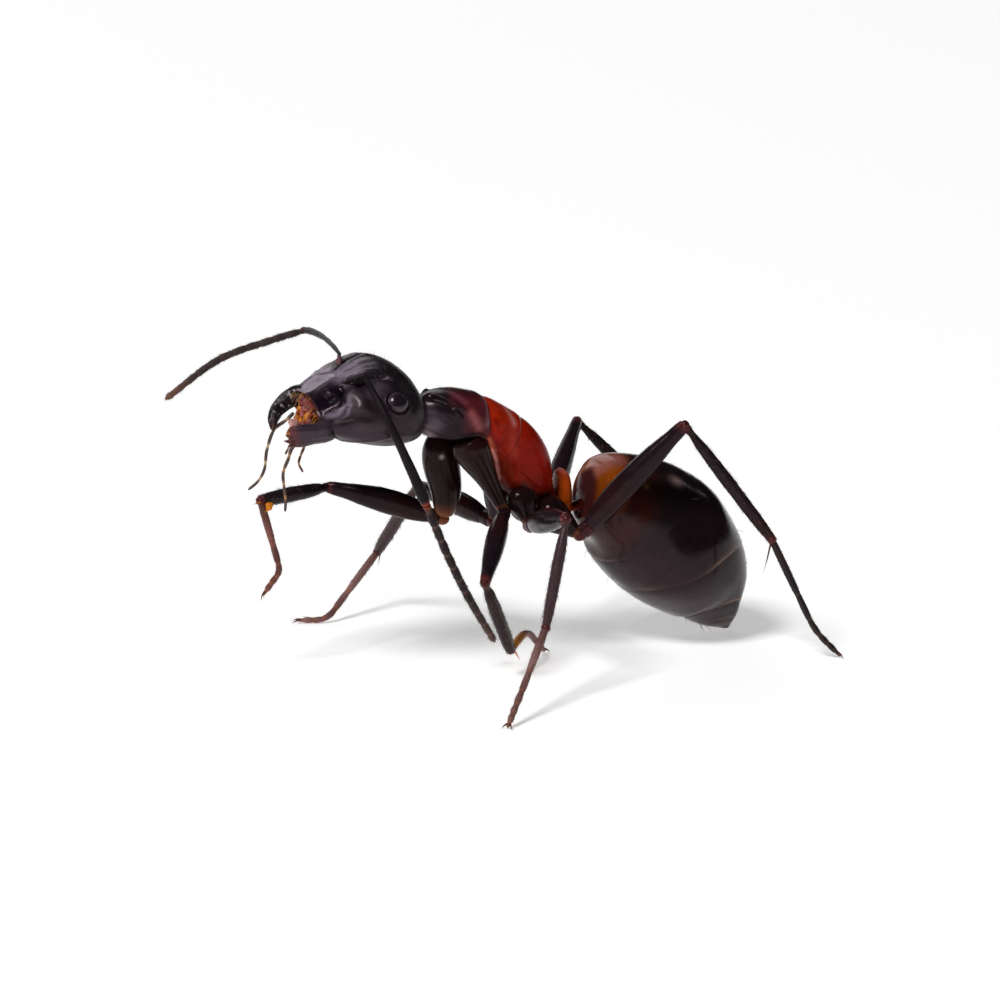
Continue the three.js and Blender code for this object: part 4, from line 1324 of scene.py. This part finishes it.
def first_ring_layers(grid, s, side, noise):
    """The amber saddle at the front of the gaster with a pink painted highlight on its top, and the dark
    patches beside it.
    """
    edge = s + 0.00025 * side
    glow = ease(0.022, 0.042, edge) * ease(100, 60, side + 8 * noise)
    glow *= ease(0.13, 0.09, s + 0.006 * noise + 0.0004 * (side - 50))
    embers = hump(distance_to(grid, gaster.at(0.167, 86)), 0, 0.2)
    embers += hump(distance_to(grid, gaster.at(0.167, -86)), 0, 0.2)
    fleck = hump(distance_to(grid, gaster.at(0.158, 56)), 0, 0.07)
    return [
        ((0.03, 0.006, 0.005), ease(0.24, 0.12, s + 0.02 * noise)),
        ((0.022, 0.004, 0.002), 0.8 * np.minimum(1, embers)),
        ((0.22, 0.046, 0.003), glow),
        # painted pink highlight on the top of the amber saddle
        ((0.36, 0.13, 0.11), 0.7 * glow * ease(36, 14, side)),
        ((0.05, 0.01, 0.01), ease(0.042, 0.024, edge)),
        ((0.1, 0.05, 0.012), 0.8 * fleck),
    ]


def rear_edge_layers(grid, until, side, patches):
    """The thin rear edge of a ring, pale in patches. until is the distance to the edge."""
    lit = sum(strength * hump(side, centre, width) for centre, width, strength in patches)
    lit = lit * (0.75 + 0.25 * ripple(grid, 1.1, 98))
    return [
        ((0.12, 0.05, 0.035), 0.4 * hump(until, 0.1, 0.06) * lit),
        ((0.26, 0.16, 0.11), hump(until, 0.025, 0.045) * lit),
    ]


gaster_coat = Coat()
for i, (along, step, short_hairs, long_hairs, patches) in enumerate(GASTER_RINGS):
    first, last = i == 0, i == len(GASTER_RINGS) - 1
    start = 0 if first else gaster_margin(i - 1, LAP)
    grid, middle, s, turn = gaster.patch(start, gaster_margin(i), along, 240)
    since, until = (s - s[:1]) * gaster_length, (s[-1:] - s) * gaster_length
    side = np.abs(turn)
    seed = min(i, 3)  # the last two rings share their waves, so that no step shows between them
    push = 0.012 * ripple(grid, 0.3, 91 + seed) + 0.0025 * ripple(grid, 1.6, 95 + seed)
    push -= step * ease(0.3, 0.05, since)
    if last:
        push *= ease(0, 0.1, until)
    else:
        push -= 0.003 * ease(0.02, 0.0, until)
    if first:
        push += 0.02 * hump(s, 0.02, 0.02) - 0.03 * hump(s, 0.05, 0.015) * ease(90, 40, side)
    grid = pushed(grid, middle, push)

    noise = ripple(grid, 0.45, 99)
    # A painted highlight: a pale pink spot high on the left side, near the first ring's rear edge.
    pale = hump(distance_to(grid, gaster.at(0.26, 38)), 0.02, 0.13)
    tint = painted(
        grid,
        (0.008, 0.005, 0.006),
        (NIGHT, 0.4 + 0.4 * noise),
        # painted reflection of the floor: the lower sides are lighter
        ((0.035, 0.015, 0.02), 0.5 * ease(85, 130, side) * ease(0.1, 0.3, s)),
        *(first_ring_layers(grid, s, side, noise) if first else []),
        *rear_edge_layers(grid, until, side, patches),
        ((0.3, 0.18, 0.18), 0.75 * pale * (0.8 + 0.5 * noise)),
        ((0.07, 0.035, 0.03), 0.5 * ease(0.93, 1.0, s)),
    )
    slot = "amber_shell" if first else "gaster_shell"
    name = f"gaster_{i + 1}"
    ring = closed(grid, glossed(tint, 0.55 + 0.1 * noise))
    piece(f"{name}_ring", [ring], GASTER_SHELL, [name])
    hairs = {"lean": 0.93, "lie": REARWARD, "tint": (0.012, 0.008, 0.009)}
    hairs["strip"] = (0.02, 0.02 + 0.19 * i, 0.96, 0.17)
    gaster_coat.scatter(grid, middle, short_hairs, 0.11, 0.0022, 100 + i, **hairs)
    hairs.update(lean=0.45, tint=(0.2, 0.14, 0.1))
    hairs["where"] = ease(0, 0.2, since) if last else hump(until, 0.12, 0.1)
    gaster_coat.scatter(grid, middle, long_hairs, 0.2, 0.004, 110 + i, **hairs)
gaster_coat.piece("gaster_hairs", "gaster_shell")

# ---- Legs ----

# Sizes and colours that differ from pair to pair: how stout the tibia is, how long its spurs are
# and their colour, and the foot's ground, bands and joints.
LEG_LOOKS = {
    "front": {
        "tibia": 1,
        "spur": (0.34, 0.03, ORANGE),
        "foot": ((0.2, 0.07, 0.055), (0.07, 0.02, 0.016), (0.3, 0.1, 0.045)),
        "hairs": (0.25, 0.1, 0.06),
    },
    "middle": {
        "tibia": 0.86,
        "spur": (0.3, 0.016, (0.22, 0.08, 0.04)),
        "foot": ((0.26, 0.14, 0.13), (0.12, 0.05, 0.045), (0.3, 0.1, 0.045)),
        "hairs": (0.25, 0.1, 0.06),
    },
    "hind": {
        "tibia": 0.88,
        "spur": (0.42, 0.016, (0.22, 0.08, 0.04)),
        "foot": ((0.014, 0.01, 0.011), (0.02, 0.011, 0.011), (0.06, 0.03, 0.025)),
        "hairs": (0.06, 0.035, 0.03),
    },
}
# Half sizes by the share of the length. A coxa's are shares of its own size.
COXA_SIZE = {
    "front_right": [(0, 0.55), (0.12, 0.92), (0.3, 1.06), (0.6, 0.96), (0.84, 0.76), (0.95, 0.56), (1, 0.3)],
    "front_left": [(0, 0.8), (0.12, 0.97), (0.3, 0.84), (0.55, 0.58), (0.82, 0.4), (0.92, 0.36), (1, 0.3)],
    "others": [(0, 0.5), (0.12, 0.86), (0.3, 0.97), (0.5, 0.84), (0.72, 0.6), (0.9, 0.4), (1, 0.3)],
}
FEMUR_SIZE = [(0, 0.12), (0.05, 0.12), (0.12, 0.165), (0.28, 0.215), (0.5, 0.22), (0.7, 0.185)]
FEMUR_SIZE += [(0.86, 0.14), (0.94, 0.128), (1, 0.11)]
TIBIA_SIZE = [(0, 0.1), (0.04, 0.095), (0.08, 0.088), (0.2, 0.13), (0.5, 0.155), (0.85, 0.14)]
TIBIA_SIZE += [(1, 0.105)]
TARSUS_SIZE = [0, 0.05, 0.4, 0.7, 0.93, 1], [0.08, 0.092, 0.08, 0.072, 0.07, 0.045]
TARSUS_JOINTS = [0, 0.45, 0.65, 0.79, 0.88, 0.97]
DARK_JOINT = (0.07, 0.014, 0.014)
CLAW_HEIGHT, SPUR_HEIGHT = 0.012, 0.02  # the least height of their tips above the floor
# The pale fleck on the front right coxa is a painted glint.
GLINT_SPOT = (24, 75)  # row and turn of the pale fleck on the front right coxa's grid


def leg_points(name):
    """Root, hip, knee, ankle and the foot's bends, and the side of the body (-1 left)."""
    pair, side_name = name.split("_")
    side = -1 if side_name == "left" else 1
    pose, size = POSES[name], LEG[pair]
    root, hip = vec(*pose["root"]), vec(*pose["hip"])
    knee = hip + heading(*pose["femur"], side) * size["femur"]
    ankle = knee + heading(*pose["tibia"], side) * size["tibia"]
    foot = [ankle]
    for yaw, rise, length in pose["foot"]:
        if rise is None:  # down to the floor
            rise = math.degrees(math.asin((FOOT_HEIGHT - foot[-1][2]) / length))
        foot.append(foot[-1] + heading(yaw, rise, side) * length)
    return root, hip, knee, ankle, foot, side


def coxa(name, pair, root, hip, wide):
    t = np.linspace(0, 1, 110)
    path = root + (hip - root) * t[:, None]
    broad = name == "front_right"  # seen from its broad side, and a little bent
    if broad:
        path = path - vec(0.06, -0.03, 0) * np.sin(2 * math.pi * t)[:, None]
    size = LEG[pair]["coxa"] * column(COXA_SIZE.get(name, COXA_SIZE["others"]), t, 1)
    waves = (0.01, 0.5, 121), (0.003, 2.2, 122)
    grid, middle = rod(path, size, size * 0.94, wide, 96, 2.15, *waves)
    # A painted glint: a pale spot high on the broad coxa.
    fleck = hump(distance_to(grid, grid[GLINT_SPOT]), 0.012, 0.04)
    tint = painted(
        grid,
        (0.006, 0.004, 0.005),
        (NIGHT, 0.5 + 0.5 * ripple(grid, 0.6, 123)),
        ((0.02, 0.004, 0.003), 0.3 + 0.3 * ripple(grid, 0.4, 124)),
        ((0.19, 0.055, 0.015), 0.85 * ease(0.76 if broad else 0.88, 1.0, t)),
        ((0.4, 0.33, 0.31), 0.9 * fleck if broad else 0),
    )
    return grid, middle, closed(grid, glossed(tint, 0.7))


def femur(pair, hip, knee, wide):
    t = np.linspace(0, 1, 150)
    path = hip + (knee - hip) * t[:, None] + vec(0, 0, 0.05) * np.sin(math.pi * t)[:, None]
    size = LEG[pair]["stout"] * column(FEMUR_SIZE, t, 1)
    waves = (0.005, 0.6, 131), (0.002, 2.4, 132)
    grid, middle = rod(path, size * 0.8, size, wide, 72, 2.2, *waves)
    tint = painted(
        grid,
        JET,
        ((0.018, 0.009, 0.013), 0.5 + 0.4 * ripple(grid, 0.4, 133)),
        ((0.028, 0.006, 0.006), 0.6 * hump(t, 0.3, 0.22)),
        ((0.1, 0.018, 0.018), ease(0.93, 1.0, t) + ease(0.05, 0.0, t)),
    )
    return grid, middle, closed(grid, glossed(tint, 0.55))


def tibia(pair, knee, ankle, wide):
    t = np.linspace(0, 1, 140)
    path = knee + (ankle - knee) * t[:, None]
    size = LEG_LOOKS[pair]["tibia"] * column(TIBIA_SIZE, t, 1)
    waves = (0.004, 0.7, 141), (0.002, 2.6, 142)
    grid, middle = rod(path, size * 0.86, size, wide, 60, 2.5, *waves)
    tint = painted(
        grid,
        JET,
        ((0.022, 0.01, 0.012), 0.5 + 0.4 * ripple(grid, 0.5, 143)),
        ((0.075, 0.045, 0.052), 0.75 if pair == "middle" else 0),
        ((0.1, 0.02, 0.018), ease(0.07, 0.0, t) + ease(0.96, 1, t)),
    )
    return grid, middle, closed(grid, glossed(tint, 0.45))


def tarsus(pair, foot, wide, side):
    """Five foot joints, each wider towards its end, with two claws and a pad."""
    path = rounded(foot, 0.45, 260)
    t = np.linspace(0, 1, 260)
    width, gap = jointed(t, TARSUS_JOINTS, 0.8, 0.5, 0.6)
    size = width * np.interp(t, *TARSUS_SIZE)
    grid, middle = rod(path, size, size * 0.95, wide, 32, 2.0)
    ground, band, pale = LEG_LOOKS[pair]["foot"]
    near_left = pair == "front" and side < 0
    tint = painted(
        grid,
        ground,
        (band, 0.4 + 0.4 * np.cos(t * 9)),
        (pale, 0.6 * hump(gap * length_of(path), 0, 0.04) + 0.6 * ease(0.9, 1, t)),
        ((0.45, 0.17, 0.02), ease(0.4, 0.2, t) if near_left else 0),
    )
    tip, onward = path[-1], unit(path[-1] - path[-12])
    level = unit(np.cross(onward, vec(0, 0, 1)))
    if abs(onward[2]) > 0.9:  # the foot hangs straight down
        level = unit(wide)
    above = unit(np.cross(level, onward))
    if above[2] < 0:
        above = -above
    ends = []
    for aside in (level, -level):
        end = tip + onward * 0.15 + aside * 0.11 - above * 0.05
        end[2] = max(end[2], CLAW_HEIGHT)
        droop = above * 0.06 + aside * 0.03
        ends.append(cone(tip - onward * 0.05, end, 0.03, (0.09, 0.02, 0.01), droop))
    ends.append(ball(tip + onward * 0.03, (0.035, 0.035, 0.028), (0.2, 0.09, 0.05)))
    return grid, middle, closed(grid, tint), ends


def femur_joints(name, hip, knee, thigh, wide):
    """The hinge and the collar at the hip, and the knuckle of the knee with its two caps."""
    hinge_tint = (0.2, 0.06, 0.02) if name == "front_right" else DARK_JOINT
    t = np.linspace(0, 1, 30)
    stops = [0, 0.3, 0.8, 1]
    across, tall = ([0.11, 0.15, 0.145, 0.1], [0.12, 0.17, 0.165, 0.12])
    path = hip + thigh * np.linspace(0.0, 0.34, 30)[:, None]
    collar = tube(path, np.interp(t, stops, across), np.interp(t, stops, tall), wide, 36)
    patches = [
        ball(hip, (0.14, 0.14, 0.13), hinge_tint, rows=24, around=32, rough=0.05),
        closed(collar, painted(collar, DARK_JOINT, (NIGHT, 0.5 + 0.5 * ripple(collar, 1, 7)))),
        ball(knee, (0.105, 0.105, 0.105), (0.06, 0.012, 0.012), rows=24, around=32, rough=0.05),
    ]
    for flip in (1, -1):
        at = knee + wide * flip * 0.08
        patches.append(ball(at, (0.036, 0.036, 0.036), (0.16, 0.03, 0.025), rows=16, around=20))
    return patches


def spurs_of(name, pair, ankle, thigh, shin, wide):
    """The spurs under the ankle, and on the front right leg the orange cleaning comb."""
    outer = unit(thigh - shin)
    reach, size, colour = LEG_LOOKS[pair]["spur"]
    spurs = []
    for flip in (1,) if pair == "front" else (1, -1):
        start = ankle - shin * 0.02 - outer * 0.05 + wide * flip * 0.05
        end = start + shin * reach - outer * 0.1 + wide * flip * 0.03
        end[2] = max(end[2], SPUR_HEIGHT)
        if name == "hind_left":
            end = start + vec(-0.15, 0.05 * flip, -0.6 - 0.12 * flip)
            colour = (0.07, 0.03, 0.025)
        spurs.append(cone(start, end, size, colour, -outer * 0.04))
    if name == "front_right":
        comb = ankle + vec(0.17, -0.08, -0.13)
        spurs.append(ball(comb, (0.085, 0.06, 0.1), ORANGE, rows=18, around=22, rough=0.12, seed=7))
        spurs.append(cone(comb, comb - vec(0.1, 0, 0.12), 0.05, ORANGE, vec(0.03, 0, 0)))
    return spurs


leg_coat, foot_coat = Coat(), Coat()
SHELL_PART = ("shell", LIMB_SHELL, "leg", leg_coat)
FOOT_PART = ("joints", FOOT_SHELL, "foot", foot_coat)
# Hairs of each part: the row of the unwrap they start at, how many, length, width, seed and lean.
LEG_HAIRS = {
    "coxa": (0.02, 170, 0.08, 0.0035, 150, 0.88),
    "femur": (0.26, 330, 0.08, 0.0035, 160, 0.85),
    "tibia": (0.5, 520, 0.1, 0.004, 170, 0.78),
    "tarsus": (0.74, 420, 0.07, 0.003, 180, 0.72),
}


def show_part(part, name, number, kind, made, patches, **look):
    """Shows one part of the leg of this number, and adds its hairs. made is its grids and shell."""
    grid, middle, shell = made
    ending, material, slot, coat = kind
    piece(f"{part}_{name}_{ending}", [shell] + patches, material, [f"{part}_{name}"])
    row, count, length, width, seed, lean = LEG_HAIRS[part]
    look["strip"] = (0.01 + 0.165 * number, row, 0.15, 0.2)
    coat.scatter(grid, middle, count, length, width, seed + number, lean=lean, **look)


for number, name in enumerate(POSES):
    root, hip, knee, ankle, foot, side = leg_points(name)
    pair = name.split("_")[0]
    wide = heading(POSES[name]["femur"][0] + 90, 0, side)
    thigh, shin = unit(knee - hip), unit(ankle - knee)

    made = coxa(name, pair, root, hip - unit(hip - root) * 0.06, wide)
    show_part("coxa", name, number, SHELL_PART, made, [], tint=(0.025, 0.015, 0.014))

    made = femur(pair, hip + thigh * 0.1, knee, wide)
    joints = femur_joints(name, hip, knee, thigh, wide)
    show_part("femur", name, number, SHELL_PART, made, joints, tint=(0.05, 0.032, 0.03))

    made = tibia(pair, knee, ankle, wide)
    cuff = ball(ankle, (0.1, 0.1, 0.1), (0.09, 0.018, 0.018), rows=20, around=28, rough=0.06)
    ends = [cuff] + spurs_of(name, pair, ankle, thigh, shin, wide)
    show_part("tibia", name, number, SHELL_PART, made, ends, tint=(0.12, 0.07, 0.05))

    grid, middle, shell, ends = tarsus(pair, foot, wide, side)
    look = {"tint": LEG_LOOKS[pair]["hairs"], "where": ease(0.02, 0.1, grid[..., 2])}
    show_part("tarsus", name, number, FOOT_PART, (grid, middle, shell), ends, **look)
leg_coat.piece("leg_hairs", "leg")
foot_coat.piece("foot_hairs", "foot")

# ---- Hairs of the head and mouth ----

head_coat = Coat()
folded = head_local * vec(1, 0, 1) + np.abs(head_local) * vec(0, 1, 0)
off_eye = ease(0.26, 0.34, distance_to(folded, EYE["at"]))
look = {"lean": 0.9, "tint": (0.07, 0.055, 0.06), "where": off_eye, "strip": (0.02, 0.02, 0.96, 0.8)}
head_coat.scatter(head_grid, head_middle, 1500, 0.06, 0.0022, 201, **look)
look.update(lean=0.3, tint=(0.3, 0.24, 0.2), where=off_eye * ease(0.55, 0.8, folded[..., 2]))
head_coat.scatter(head_grid, head_middle, 40, 0.17, 0.0035, 202, **look)

draw = np.random.default_rng(203)
downward = head_axes((0, 0, -0.35))


def fringe(roots, aims, shake, spread, lengths, width, tint, row):
    """Long hairs that hang over the mouth from given roots, at one row of the unwrap."""
    count = len(aims)
    root = from_head(np.array(roots) + (draw.normal(0, shake, (count, 3)) if shake else 0))
    aim = unit(head_axes(*aims) + draw.normal(0, spread, (count, 3)))
    place = np.stack((np.linspace(0.05, 0.95, count), np.full(count, row)), axis=-1)
    length = draw.uniform(*lengths, count)
    head_coat.add(root, aim, downward + 0 * aim, length, np.full(count, width), tint, place)


sides = np.linspace(-0.62, 0.62, 15)
roots = [(1.3, left, 0.4 - 0.3 * (left / 0.66) ** 2) for left in sides]
aims = [(0.75, 0.12 * left, -0.6) for left in sides]
fringe(roots, aims, 0.012, 0.14, (0.16, 0.28), 0.008, (0.5, 0.24, 0.05), 0.88)
roots = [(1.3 + 0.02 * (k % 3), 0.5 - 0.09 * k, -0.2 - 0.02 * (k % 4)) for k in range(12)]
fringe(roots, [(0.7, 0.02, -0.7)] * 12, 0, 0.25, (0.15, 0.3), 0.006, (0.5, 0.28, 0.1), 0.94)
look = {"lean": 0.75, "tint": (0.16, 0.1, 0.07), "strip": (0.02, 0.9, 0.3, 0.08)}
head_coat.scatter(jaw_grid, jaw_middle, 60, 0.08, 0.0035, 204, **look)
head_coat.piece("head_hairs", "head_shell")

# ---- Floor, light and camera ----

FLOOR_HALF = 0.6  # metres
FLOOR_LOOKS = {
    "Base Color": (0.92, 0.92, 0.92, 1),
    "Roughness": 1.0,
    "Specular IOR Level": 0.0,
    "Emission Color": (1, 0.995, 0.99, 1),
    "Emission Strength": 0.46,
}
corners = [(x * FLOOR_HALF, y * FLOOR_HALF, 0) for x, y in ((-1, -1), (1, -1), (1, 1), (-1, 1))]
floor_mesh = bpy.data.meshes.new("floor")
floor_mesh.from_pydata(corners, [], [(0, 1, 2, 3)])
floor = bpy.data.objects.new("floor", floor_mesh)
bpy.context.scene.collection.objects.link(floor)
paper = bpy.data.materials.new("paper")
paper.use_nodes = True
for key, value in FLOOR_LOOKS.items():
    paper.node_tree.nodes["Principled BSDF"].inputs[key].default_value = value
floor_mesh.materials.append(paper)

CAMERA = {"azimuth": -26.0, "elevation": 13.5, "distance": 160.0, "field": 21.277}
SENSOR = 36
TARGET = vec(0.2, 0.677, 3.336) * MM


def posed(name, data, target, azimuth, elevation, distance):
    """An object that faces a target from degrees round the ant and up, and from so many mm."""
    a, e = math.radians(azimuth), math.radians(elevation)
    away = Vector((math.sin(a) * math.cos(e), -math.cos(a) * math.cos(e), math.sin(e)))
    made = bpy.data.objects.new(name, data)
    made.location = Vector(target) + away * distance * MM
    made.rotation_mode = "QUATERNION"
    made.rotation_quaternion = away.to_track_quat("Z", "Y")
    bpy.context.scene.collection.objects.link(made)
    return made


lens = bpy.data.cameras.new("camera")
lens.sensor_width = SENSOR
lens.lens = SENSOR * CAMERA["distance"] / CAMERA["field"]
lens.clip_start, lens.clip_end = 0.01, 10
view = CAMERA["azimuth"], CAMERA["elevation"], CAMERA["distance"]
bpy.context.scene.camera = posed("camera", lens, TARGET, *view)

# Square lights: azimuth and elevation in degrees, distance and size in mm, and power.
for name, azimuth, elevation, distance, size, power in (
    ("key", -62, 52, 500, 127, 1.76),
    ("behind", 174, 28, 260, 160, 0.1),
    ("right", 104, 36, 220, 16, 0.002),
):
    lamp = bpy.data.lights.new(name, "AREA")
    lamp.size, lamp.energy = size * MM, power
    posed(name, lamp, (0, 0, 3 * MM), azimuth, elevation, distance)

# The room: dark all round the ant above the floor's own level, and pale below it.
world = bpy.data.worlds.new("studio")
bpy.context.scene.world = world
world.use_nodes = True
tree = world.node_tree
split = node(tree, "SeparateXYZ", Vector=node(tree, "TexCoord").outputs["Generated"])
power = remapped(tree, split.outputs["Z"], 0.0, 0.06, 0.95, 0.01)
give(tree, tree.nodes["Background"].inputs["Strength"], power)
give(tree, tree.nodes["Background"].inputs["Color"], (1, 1, 1, 1))
bpy.context.scene.view_settings.view_transform = "Standard"
